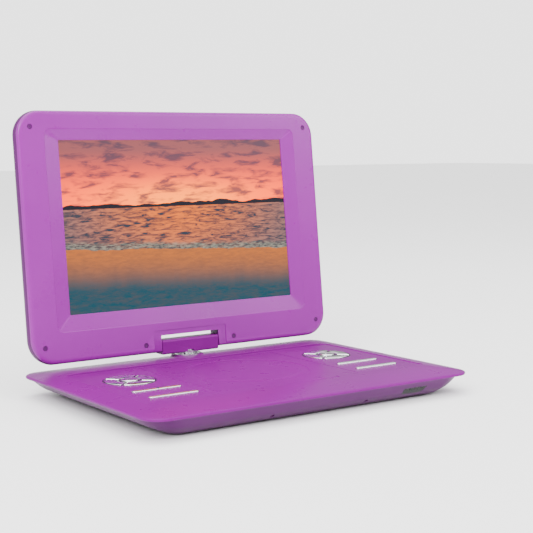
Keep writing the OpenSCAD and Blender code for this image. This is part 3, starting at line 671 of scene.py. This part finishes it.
def tray_inset(z):
    """Side and front inset of the tray's wall at a height: a smooth curve through its levels."""
    levels = TRAY_LEVELS
    slopes = []
    for i in range(len(levels)):
        a, b = levels[max(i - 1, 0)], levels[min(i + 1, len(levels) - 1)]
        slopes.append([(b[k] - a[k]) / (b[2] - a[2]) for k in (0, 1)])
    for i in range(len(levels) - 1):
        a, b = levels[i], levels[i + 1]
        if z <= b[2] or i == len(levels) - 2:
            span = b[2] - a[2]
            t = min(max((z - a[2]) / span, 0), 1)
            basis = (2 * t ** 3 - 3 * t ** 2 + 1, t ** 3 - 2 * t ** 2 + t, -2 * t ** 3 + 3 * t ** 2, t ** 3 - t ** 2)
            return [basis[0] * a[k] + basis[1] * span * slopes[i][k] + basis[2] * b[k]
                    + basis[3] * span * slopes[i + 1][k] for k in (0, 1)]


def tray_loop(side, front, z):
    rect = (-HALF_W + side, front, HALF_W - side, DEPTH - front)
    return at_height(rounded(*rect, TRAY_CORNER - 0.8 * side, corner=12), z)


def tray_wall(wall, bottom):
    """Rings of the wall's outer side, or of its inner side for a wall thickness above 0."""
    steps = 18
    heights = [bottom + (TRAY_TOP - bottom) * i / steps for i in range(steps + 1)]
    loops = []
    for z in heights:
        side, front = tray_inset(max(z, TRAY_Z + 0.25))
        loops.append(tray_loop(side + wall, front + wall, z))
    return loops


def tray_outside():
    side, front = tray_inset(TRAY_Z + 0.25)
    foot = [tray_loop(side + 3, front + 3, TRAY_Z), tray_loop(side + 1, front + 1, TRAY_Z + 0.08)]
    return foot + tray_wall(0, TRAY_Z + 0.3)


def within_tray(piece):
    combine(piece, Shell().closed(tray_outside()).build("tool"), "INTERSECT")
    return piece


def window_form(shrink):
    """The slanted-ended infrared window as a bar that runs in through the front wall."""
    left, right, low_z, high_z = 107 + shrink, 140 - shrink, 8 + shrink, 15 - shrink
    outline = [(left + 1, low_z), (right - 4.5, low_z), (right - 3.2, low_z + 0.6), (right, high_z - 0.5),
               (right - 0.6, high_z), (left + 1, high_z), (left, high_z - 1), (left, low_z + 1)]
    return Shell().closed([upright(outline, 2), upright(outline, 15)])


def make_tray():
    tray = Shell()
    outer = tray.stack(tray_outside())
    inner = tray.stack(tray_wall(SHELL, TRAY_Z + SHELL))
    tray.bridge(outer[-1], inner[-1])
    tray.cap(outer[0])
    tray.cap(inner[0])
    piece = tray.build("tray_shell")
    bosses, tools = Shell(), Shell()
    for x, y in TRAY_SCREWS:
        bosses.turned(x, y, [(4.2, 4), (4.2, 13.2)], 32)
        tools.turned(x, y, [(2.6, 1), (2.6, 11.4)], 24)
    combine(piece, within_tray(bosses.build("tool_bosses")), "UNION")
    for x in (-120, 120):
        for i in range(-4, 5):
            slot = rounded(x + 4 * i - 0.9, 31, x + 4 * i + 0.9, 47, 0.85, corner=4)
            tools.closed([at_height(slot, 1), at_height(slot, 6)])
    tools.box(170, 206, 94.6, 200.4, 5.4, 19.4)
    door = rounded(-160, 84, -60, 200, 4, corner=6)
    tools.closed([at_height(door, 1), at_height(door, TRAY_Z + 0.4)])
    cut(piece, tools)
    cut(piece, window_form(0))
    finished(piece, "base", SHADED_SHELL_LOOK, ["base_tray"])
    pane = within_tray(window_form(0.12).build("infrared_window"))
    finished(pane, "base", WINDOW, ["ir_window"])


# ---------------------------------------------------------------- disc lid, keys and latch


def lid_outline(inset, rear):
    return rounded(-LID_HALF + inset, LID_FRONT + inset, LID_HALF - inset, rear,
                   (6 - inset, 0.9, 0.9, 6 - inset), corner=8)


def make_disc_lid():
    lid = Shell()
    top = PANEL_Z
    half_t = LID_T / 2
    hinge_y = LID_REAR - half_t
    loops = []
    edge = [(0, LID_T), (0, 2.3), (0, 1.9), (0, 1.3), (0, 0.8), (0, 0.5), (0.12, 0.22), (0.32, 0.05), (0.6, 0)]
    for inset, drop in edge:
        rear = hinge_y + math.sqrt(max(half_t ** 2 - (drop - half_t) ** 2, 0))
        loops.append(at_height(lid_outline(inset, rear), top - drop))
    rings = lid.stack(loops)
    dish = [(69.6, 0), (69.25, -0.06), (69, -0.22), (68.75, -0.42), (68.2, -0.5), (64, -0.42), (60.4, -0.3),
            (60, -0.24), (59.6, -0.1), (59.1, -0.04), (58.4, -0.02), (50, -0.1), (38, -0.2), (24, -0.28), (10, -0.32)]
    bowl = lid.stack([circle(0, DISC_Y, top + drop, r, 128) for r, drop in dish])
    lid.cap(rings[-1], bowl[0])
    lid.fan(bowl[-1])
    lid.cap(rings[0])
    piece = lid.build("disc_lid_shell")
    x = middle("lid_latch", 0)
    join(piece, Shell().box(x - 4, x + 4, LID_FRONT + 0.6, LID_FRONT + 2.4, top - 6.5, top - 2))
    for rib_x in (-78, 78):
        join(piece, Shell().box(rib_x - 0.8, rib_x + 0.8, LID_FRONT + 6, LID_REAR - 14, top - LID_T - 0.8, top - 2))
    cut(piece, Shell().box(x - 2.6, x + 2.6, LID_FRONT + 0.2, LID_FRONT + 3, top - 5.6, top - 3.8))
    finished(piece, "disc_cover", GLOSS, ["disc_lid"])


def key_cap(node, outline, loops, stem):
    """A key: its flange and stem below the panel and a rounded cap above it. The outline takes an inset."""
    key = Shell()
    rings = key.stack([at_height(outline(inset), z) for inset, z in loops])
    key.cap(rings[-1])
    stem_rings = key.stack([circle(stem[0], stem[1], z, 2, 20) for z in (low(node, 2), loops[0][1])])
    key.cap(rings[0], stem_rings[-1])
    key.cap(stem_rings[0])
    plate(key, node)


def plate(key, node):
    finished(key.build(node + "_plated"), node + "_cap", CHROME, [node], angle=40)


def cap_profile(width, swell, flange):
    """Inset and height of a key's rings: a flange, the side, a round shoulder and a swelling top."""
    soft = 0.55
    shoulder = KEY_TOP - swell - soft
    rings = [(-flange, KEY_BOTTOM), (-flange, KEY_BOTTOM + FLANGE_T), (0, KEY_BOTTOM + FLANGE_T), (0, shoulder)]
    rings += [(soft * (1 - math.cos(t)), shoulder + soft * math.sin(t))
              for t in [math.radians(22.5 * i) for i in range(1, 5)]]
    steps = 7
    for i in range(1, steps + 1):
        share = i / steps * 0.93
        rings.append((soft + (width - soft) * share, KEY_TOP - swell * (1 - share) ** 2))
    return rings


def make_keys():
    ring_keys = {0: ("nav_key_right", "next_key"), 90: ("nav_key_up", "pause_key"),
                 180: ("nav_key_left", "previous_key"), 270: ("nav_key_down", "stop_key")}
    mid = (RING_OUT + RING_IN) / 2
    for turn, pair in ring_keys.items():
        for side, node in zip((-1, 1), pair):
            x = side * PAD_X
            stem = (x + mid * math.cos(math.radians(turn)), PAD_Y + mid * math.sin(math.radians(turn)))
            key_cap(node,
                    lambda inset: moved(sector(turn, -inset, max(0.9 - 0.1 * inset, 0.3)), x, PAD_Y),
                    cap_profile(5.6, 0.75, 0.35), stem)
    for side, node in ((-1, "nav_key_enter"), (1, "play_key")):
        top = KEY_TOP + 0.3
        flange_r = CENTRE_R + 1
        profile = [(2, low(node, 2)), (2, KEY_BOTTOM), (flange_r, KEY_BOTTOM), (flange_r, KEY_BOTTOM + FLANGE_T),
                   (CENTRE_R, KEY_BOTTOM + FLANGE_T), (CENTRE_R, top - 1), (CENTRE_R - 0.15, top - 0.6),
                   (CENTRE_R - 0.5, top - 0.25), (CENTRE_R - 1.1, top - 0.05), (CENTRE_R - 1.8, top),
                   (CENTRE_R - 3, top - 0.12), (5, top - 0.32), (3, top - 0.44), (1.9, top - 0.46),
                   (1.6, top - 0.62), (1.2, top - 0.7), (0.5, top - 0.72)]
        plate(Shell().turned(side * PAD_X, PAD_Y, profile), node)
    half_gap = 0.25
    bars = [("menu_key", "setup_key", -BAR_HALF, -half_gap, -15, 0),
            ("title_key", "display_key", half_gap, BAR_HALF, 15, 0),
            ("mode_key", "subtitle_key", -BAR_HALF, BAR_HALF, 0, 1)]
    for left, right, x0, x1, stem_x, row in bars:
        for side, node in ((-1, left), (1, right)):
            x, y = side * PAD_X, BAR_ROWS[row]
            key_cap(node, lambda inset: moved(bar_key(x0, x1, inset), x, y), cap_profile(3.2, 0.6, 0.3),
                    (x + stem_x, y))


def bar_key(x0, x1, inset):
    """A bar key's outline. The flange, which has an inset below 0, doesn't reach past an end at a split."""
    reach = max(-inset, 0)
    return bar(x0 + (reach if x0 > -BAR_HALF else 0), x1 - (reach if x1 < BAR_HALF else 0), -inset)


def make_key_wells():
    """Dark floors of the two round dishes, with the holes the keys stand in."""
    for side, name in ((-1, "left"), (1, "right")):
        x = side * PAD_X
        well = Shell()
        rings = []
        for z in (PANEL_Z - 0.49, PANEL_Z - 0.36):
            level = [well.ring(circle(x, PAD_Y, z, RING_OUT + 1.8, 96))]
            for turn in QUARTERS:
                level.append(well.ring(at_height(moved(sector(turn, HOLE_GAP), x, PAD_Y), z)))
            level.append(well.ring(circle(x, PAD_Y, z, CENTRE_R + HOLE_GAP, 48)))
            rings.append(level)
        for below, above in zip(*rings):
            well.bridge(below, above)
        for level in rings:
            well.cap(*level)
        finished(well.build("key_well_" + name), "base", DARK_DISH)


def make_latch():
    latch = Shell()
    x0, x1 = low("lid_latch", 0), high("lid_latch", 0)
    top = high("lid_latch", 2)
    y0, y1 = 48.4, 52.6
    loops = []
    for inset, z in ((0, PANEL_Z - 2), (0, top - 0.8), (0.12, top - 0.4), (0.4, top - 0.12), (0.8, top)):
        loops.append(at_height(rounded(x0 + inset, y0 + inset, x1 - inset, y1 - inset, max(1.2 - inset, 0.3), 5), z))
    latch.closed(loops)
    piece = latch.build("lid_latch_button")
    x = (x0 + x1) / 2
    for i in (-1, 0, 1):
        leg = Shell().box(x + 12 * i - 3, x + 12 * i + 3, y0, 51, 19.4, PANEL_Z - 1.5)
        join(piece, leg)
    join(piece, Shell().box(x - 2.2, x + 2.2, 50, LID_FRONT + 0.2, 21.2, 22.2))
    finished(piece, "latch", GLOSS, ["lid_latch"])


def make_feet():
    feet = Shell()
    for x in (-150, 150):
        for y in (42, DEPTH - 42):
            feet.turned(x, y, [(8.3, 0), (8.75, 0.15), (9, 0.5), (9, TRAY_Z)], 48)
    finished(feet.build("feet_pads"), "base", RUBBER, ["rubber_feet"])


# ---------------------------------------------------------------- hinge block


def make_hinge_covers():
    half_w = high("hinge_cover_front", 0)
    soft = 1.1

    def form(wall, round_off):
        loops = []
        ends = [(soft * (1 - math.cos(t)), soft * (1 - math.sin(t))) for t in
                [math.radians(22.5 * i) for i in range(5)]]
        steps = [(x, inset) for inset, x in ends] if wall == 0 else [(wall, 0)]
        full = [(-half_w + x, inset) for x, inset in reversed(steps)] + [(half_w - x, inset) for x, inset in steps]
        for x, inset in full:
            rect = (-9 + wall + inset, -9 + wall + inset, 9 - wall - inset, 8 - wall - inset)
            loops.append([(x, y, z) for y, z in rounded(*rect, max(round_off - inset, 0.8), corner=6)])
        return Shell().closed(loops)

    whole = form(0, 2.5).build("tool_block", BLOCK)
    for tool in (form(1.5, 1), Shell().rod_x(-50, 50, SHAFT_BORE_R), Shell().turned(0, 0, [(9.9, -12), (9.9, -6)])):
        cut(whole, tool, BLOCK)
    seam = 0.03
    for node, y0, y1 in (("hinge_cover_front", -30, -seam), ("hinge_cover_rear", seam, 30)):
        half = linked(node + "_shell", whole.data.copy())
        half.matrix_world = BLOCK
        combine(half, Shell().box(-60, 60, y0, y1, -30, 30).build("tool", BLOCK), "INTERSECT")
        finished(half, "swivel", GLOSS, [node])
    bpy.data.objects.remove(whole)


# ---------------------------------------------------------------- screen unit


def screen_loop(inset, y):
    rect = (-SCREEN_HALF + inset, SCREEN_LOW + inset, SCREEN_HALF - inset, SCREEN_TOP - inset)
    return upright(rounded(*rect, max(SCREEN_R - inset, 12), corner=16), y)


def framed(rect, r, y):
    return upright(rounded(*rect, r, corner=16), y)


def screen_circle(x, y, z, r):
    """A circle that faces the front of the screen unit."""
    return upright([point[:2] for point in circle(x, z, 0, r, 32)], y)


def notch_tool(rear):
    """The hinge block's room at the foot of the screen, as a tool that ends at a depth."""
    outline = rounded(-NOTCH_HALF, -30, NOTCH_HALF, NOTCH_TOP, 0.8, corner=4)
    return Shell().closed([upright(outline, -12), upright(outline, rear)])


def make_bezel():
    bezel = Shell()
    profile = [(2.2, SPLIT_Y), (0.5, SPLIT_Y), (0.45, -5.25), (0, -5.5), (0, -6.2), (0.15, -7), (0.6, -7.9),
               (1.4, -8.65), (2.5, -9.15), (4, -9.42), (6, FACE_Y)]
    loops = [screen_loop(inset, y) for inset, y in profile]
    crest = grown(BEVEL, 0.8)
    loops += [framed(crest, 8.8, FACE_Y), framed(grown(BEVEL, 0.3), 8.3, FACE_Y + 0.08),
              framed(BEVEL, 8, FACE_Y + 0.35), framed(grown(BEVEL, -0.3), 7.7, FACE_Y + 0.45)]
    loops += [framed(grown(PICTURE, 0.3), 1.4, -6.62), framed(PICTURE, 1, -6.4), framed(PICTURE, 1, SPLIT_Y - 0.05)]
    loops += [framed(grown(PICTURE, 3), 2, SPLIT_Y - 0.05), framed(grown(PICTURE, 14), 6, -7.2),
              screen_loop(6, -7.2), screen_loop(2.2, -6.4)]
    rings = bezel.stack(loops)
    bezel.bridge(rings[-1], rings[0])
    piece = bezel.build("bezel_shell", SCREEN)
    step = rounded(-49.5, -30, 49.5, 19, 2, corner=5)
    holes = Shell()
    for x, z in PLUG_PLACES:
        holes.closed([screen_circle(x, y, z, PLUG_R + 0.15) for y in (-12, FACE_Y + 1.6)])
    for tool in (Shell().closed([upright(step, -12), upright(step, FACE_Y + 0.7)]), notch_tool(2), holes,
                 Shell().rod_x(-60, 60, SHAFT_BORE_R)):
        cut(piece, tool, SCREEN)
    finished(levelled(piece), "screen", BEZEL, ["front_bezel"])


def make_plugs():
    plugs = Shell()
    steps = [(PLUG_R, 1.5), (PLUG_R, 0.25), (2.7, 0.08), (2.3, 0.05), (1.2, 0.2)]
    for x, z in PLUG_PLACES:
        rings = plugs.stack([screen_circle(x, FACE_Y + depth, z, r) for r, depth in steps])
        plugs.fan(rings[0])
        plugs.fan(rings[-1])
    finished(plugs.build("plug_discs", SCREEN), "screen", SHADED_SHELL_LOOK, ["screw_plugs"])


def make_back():
    back = Shell()
    profile = [(2.2, SPLIT_Y + 0.02), (0.55, SPLIT_Y + 0.02), (0.45, -4.7), (0, -4.4), (-0.6, -2.5), (-0.95, 0.6),
               (-0.7, 2.6), (0.4, 4.6), (2.4, 6.4), (5, 7.7), (8.5, 8.6), (13, 9.1), (20, 9.32), (26, 9.36),
               (26.8, 9.2), (27.4, 9.02), (28.4, 9.0), (60, 9.2), (110, 9.45)]
    outer = back.stack([screen_loop(inset, y) for inset, y in profile])
    inner = back.stack([screen_loop(inset, y) for inset, y in
                        ((2.4, -1), (3.4, 3.4), (8, 6), (16, 7), (40, 7.2), (110, 7.3))])
    back.bridge(outer[0], inner[0])
    back.cap(outer[-1])
    back.cap(inner[-1])
    piece = back.build("back_cover_shell", SCREEN)
    wall = rounded(-NOTCH_HALF - 1.8, SCREEN_LOW + 1, NOTCH_HALF + 1.8, NOTCH_TOP + 1.8, 2, corner=4)
    join(piece, Shell().closed([upright(wall, SPLIT_Y + 0.3), upright(wall, 8)]), SCREEN)
    reliefs = Shell()
    for x in (-45.1, 45.1):
        reliefs.rod_x(x - 3.2, x + 3.2, 4.6)
    for tool in (notch_tool(20), reliefs, Shell().rod_x(-60, 60, SHAFT_BORE_R)):
        cut(piece, tool, SCREEN)
    finished(levelled(piece), "screen", SHADED_SHELL_LOOK, ["lid_back_cover"])


# ---------------------------------------------------------------- display picture


def shown(red, green, blue):
    """The light a display gives off to be seen as a colour of 0 to 255 a channel.

    A fit to the view transform: strong red spills into the other two channels, so they give a little less.
    """
    light = []
    for code in (red, green, blue):
        share = min(max(code, 3), 247) / 255
        step = math.log(share / (1 - share))
        light.append(0.18 * 2 ** (0.25 + 1.8 * min(step, 0.66) + 1.1 * max(step - 0.66, 0)))
    return tuple(max(value - spill * light[0], 0.0008) for value, spill in zip(light, (0, 0.04, 0.08)))


def picture():
    """A lit display with a generic evening shore: sky, far hills, sea, foam and sand. u and v are mm on the display."""
    look = Look("lit_display", Roughness=0.3, IOR=1.45, Specular_IOR_Level=0.08)
    split = look.node("ShaderNodeSeparateXYZ")
    look.link(look.place, split.inputs[0])
    u = look.math("MULTIPLY", split.outputs["X"], 1000)
    v = look.math("MULTIPLY_ADD", split.outputs["Z"], 1000, -PICTURE[1])

    def band(value, start, end):
        return look.ranged(value, start, end, 0, 1, smooth=True)

    def strokes(scale, stretch, detail, rough, distortion=0.0):
        return look.noise(scale, detail, rough, look.stretched(1, 1, stretch), distortion)

    def both(*shares):
        result = shares[0]
        for share in shares[1:]:
            result = look.math("MULTIPLY", result, share)
        return result

    def near(centre_v, wide, tall):
        """A soft glow about a point over the middle of the horizon, 1 at that point."""
        du = look.math("DIVIDE", u, wide)
        dv = look.math("DIVIDE", look.math("SUBTRACT", above, centre_v), tall)
        far = look.math("ADD", look.math("MULTIPLY", du, du), look.math("MULTIPLY", dv, dv))
        return look.math("EXPONENT", look.math("MULTIPLY", far, -1))

    above = look.math("SUBTRACT", v, PICTURE_HIGH * 0.6)
    clouds = strokes(30, 4, 6, 0.6, 0.4)
    fine = strokes(90, 4, 6, 0.65, 0.3)
    sky = look.mix(band(above, 4, 70), shown(246, 146, 66), shown(176, 112, 120))
    sky = look.mix(near(8, 110, 20), sky, shown(252, 208, 96))
    sky = look.mix(both(look.ranged(clouds, 0.48, 0.62), 0.85), sky, shown(104, 80, 104))
    hills = look.math("MULTIPLY_ADD", look.noise(26, 3, 0.5, look.stretched(1, 1, 0.001)), 14, -3)
    sky = look.mix(look.math("LESS_THAN", above, hills), sky, shown(26, 22, 36))

    ripple = strokes(60, 5.5, 5, 0.65, 0.8)
    chop = strokes(150, 4, 4, 0.7)
    calm = look.mix(near(0, 120, 60), shown(128, 124, 132), shown(232, 156, 92))
    sea = look.mix(look.ranged(ripple, 0.38, 0.58), shown(52, 66, 84), calm)
    jitter = look.math("MULTIPLY_ADD", look.noise(40, 5, 0.6, look.stretched(1, 1, 0.2)), 8, -4)
    shore = look.math("ADD", look.math("MULTIPLY_ADD", u, -0.04, PICTURE_HIGH * 0.34), jitter)
    over = look.math("SUBTRACT", v, shore)
    foam = look.mix(look.ranged(chop, 0.4, 0.62), shown(30, 62, 74), shown(170, 172, 160))
    sea = look.mix(both(band(over, 10, 4), 0.8), sea, foam)
    sand = look.mix(band(over, -2, -50), shown(206, 138, 92), shown(12, 86, 104))
    sand = look.mix(both(look.ranged(fine, 0.4, 0.64), 0.35), sand, shown(120, 90, 84))

    water = look.mix(band(over, -0.6, 0.6), sand, sea)
    scene = look.mix(look.math("GREATER_THAN", above, 0), water, sky)
    look.colour((0.005, 0.005, 0.006, 1))
    look.put(look.shader.inputs["Emission Color"], scene)
    look.shader.inputs["Emission Strength"].default_value = 1.0
    return look.material


def make_display():
    panel = Shell()
    rect = grown(PICTURE, 4)
    steps = [(0, -3.4), (0, -4.7), (0.12, -4.93), (0.3, SPLIT_Y + 0.01)]
    panel.closed([upright(rounded(*grown(rect, -inset), 1, corner=4), y) for inset, y in steps])
    finished(panel.build("display_panel", SCREEN), "screen", picture(), ["lcd_panel"])


# ---------------------------------------------------------------- CAD nodes that keep their shape


def dress(material, nodes, round_off=0.0):
    """Gives CAD nodes a material and, where they show, a small round on their edges."""
    for node in nodes:
        piece = NODES[node]
        piece.data.materials.clear()
        piece.data.materials.append(material)
        if round_off:
            edge = piece.modifiers.new("soft_edges", "BEVEL")
            edge.width = round_off * MM
            edge.segments = 2
            edge.limit_method = "ANGLE"
            edge.angle_limit = math.radians(40)


def dress_nodes():
    dress(SHADED_SHELL_LOOK, ["port_panel"], 0.2)
    dress(BLACK, ["power_switch", "volume_wheel", "signal_jacks", "power_jack"], 0.1)
    dress(BLACK, ["disc_well", "laser_sled"], 0.15)
    dress(WRAP, ["battery_pack"], 0.3)
    dress(CONE, ["speakers"])
    dress(RUBBER, ["mech_dampers"])
    dress(BOARD, ["main_board", "key_board_left", "key_board_right", "screen_board"])
    dress(STEEL, ["usb_socket", "mech_chassis", "hinge_bracket", "hinge_leaves"], 0.1)
    dress(TURNED, ["base_screws", "spindle_motor", "guide_rods", "lead_screw", "sled_motor", "disc_lid_pins",
                   "disc_lid_spring", "latch_spring", "swivel_ring"])
    dress(CHROME, ["spindle_hub", "swivel_post", "tilt_shafts"])
    dress(FRAME_PALE, ["lcd_chassis"])
    dress(LENS, ["objective_lens"])


# ---------------------------------------------------------------- camera, light and floor


def make_camera():
    data = bpy.data.cameras.new("camera")
    data.sensor_width = 36
    data.lens = 82.62
    data.clip_start = 0.05
    data.clip_end = 30
    camera = linked("camera", data)
    yaw, pitch, roll = math.radians(35.24), math.radians(5.66), math.radians(-0.33)
    ahead = Vector((math.sin(yaw) * math.cos(pitch), math.cos(yaw) * math.cos(pitch), -math.sin(pitch)))
    right = ahead.cross(Vector((0, 0, 1))).normalized()
    up = right.cross(ahead)
    right, up = (math.cos(roll) * right + math.sin(roll) * up, math.cos(roll) * up - math.sin(roll) * right)
    turn = Matrix((right, up, -ahead)).transposed().to_4x4()
    camera.matrix_world = Matrix.Translation((-0.7501, -1.1102, 0.2734)) @ turn
    bpy.context.scene.camera = camera


def area_light(name, place, target, size, power):
    data = bpy.data.lights.new(name, "AREA")
    data.shape = "RECTANGLE"
    data.size, data.size_y = size
    data.energy = power
    light = linked(name, data)
    light.location = place
    light.rotation_mode = "QUATERNION"
    light.rotation_quaternion = (Vector(target) - Vector(place)).to_track_quat("-Z", "Y")


def make_world():
    """Soft light from all round, stronger from above and from the left. The camera sees it as plain paper."""
    world = bpy.data.worlds.new("studio")
    world.use_nodes = True
    tree = world.node_tree
    soft = tree.nodes["Background"]
    paper = tree.nodes.new("ShaderNodeBackground")
    paper.inputs["Color"].default_value = (1, 1, 1, 1)
    paper.inputs["Strength"].default_value = 2.8
    height = tree.nodes.new("ShaderNodeSeparateXYZ")
    tree.links.new(tree.nodes.new("ShaderNodeTexCoord").outputs["Generated"], height.inputs[0])
    fade = tree.nodes.new("ShaderNodeMapRange")
    tree.links.new(height.outputs["Z"], fade.inputs["Value"])
    side = tree.nodes.new("ShaderNodeMapRange")
    tree.links.new(height.outputs["X"], side.inputs["Value"])
    for made, numbers in ((fade, (0, 0, 0.7, 0.1, 1.6)), (side, (0, 0.5, 0.6, 1.3, 0.0))):
        for socket, number in zip(made.inputs, numbers):
            if not socket.is_linked:
                socket.default_value = number
    card = tree.nodes.new("ShaderNodeMath")
    card.operation = "MAXIMUM"
    tree.links.new(fade.outputs["Result"], card.inputs[0])
    tree.links.new(side.outputs["Result"], card.inputs[1])
    tree.links.new(card.outputs[0], soft.inputs["Strength"])
    soft.inputs["Color"].default_value = (1, 1, 1, 1)
    choose = tree.nodes.new("ShaderNodeMixShader")
    tree.links.new(tree.nodes.new("ShaderNodeLightPath").outputs["Is Camera Ray"], choose.inputs["Fac"])
    tree.links.new(soft.outputs["Background"], choose.inputs[1])
    tree.links.new(paper.outputs["Background"], choose.inputs[2])
    tree.links.new(choose.outputs["Shader"], tree.nodes["World Output"].inputs["Surface"])
    bpy.context.scene.world = world


def make_floor():
    half = 12
    mesh = bpy.data.meshes.new("floor")
    mesh.from_pydata([(-half, -half, 0), (half, -half, 0), (half, half, 0), (-half, half, 0)], [], [(0, 1, 2, 3)])
    floor = linked("floor", mesh)
    floor.location.z = -0.0002
    look = Look("pale_floor", Roughness=0.6)
    look.colour(look.mix(look.noise(2, 2), (0.88, 0.88, 0.88), (0.9, 0.9, 0.9)))
    mesh.materials.append(look.material)


def make_lights():
    area_light("key", (-1.9, -1.5, 1.7), (0, 0, 0.12), (1.8, 1.4), 105)
    area_light("fill", (1.6, -1.6, 1.2), (0, 0, 0.1), (1.2, 1.2), 30)
    area_light("top", (0.1, 0.3, 2.4), (0, 0, 0.05), (2.4, 1.8), 40)
    ceiling = linked("ceiling", bpy.data.lights.new("ceiling", "SUN"))
    ceiling.data.energy = 3.4
    ceiling.data.angle = math.radians(100)
    ceiling.rotation_euler = (math.radians(12), math.radians(-10), 0)


make_camera()
make_world()
make_floor()
make_lights()
make_deck()
make_tray()
make_disc_lid()
make_keys()
make_key_wells()
make_latch()
make_feet()
make_hinge_covers()
make_bezel()
make_plugs()
make_back()
make_display()
dress_nodes()
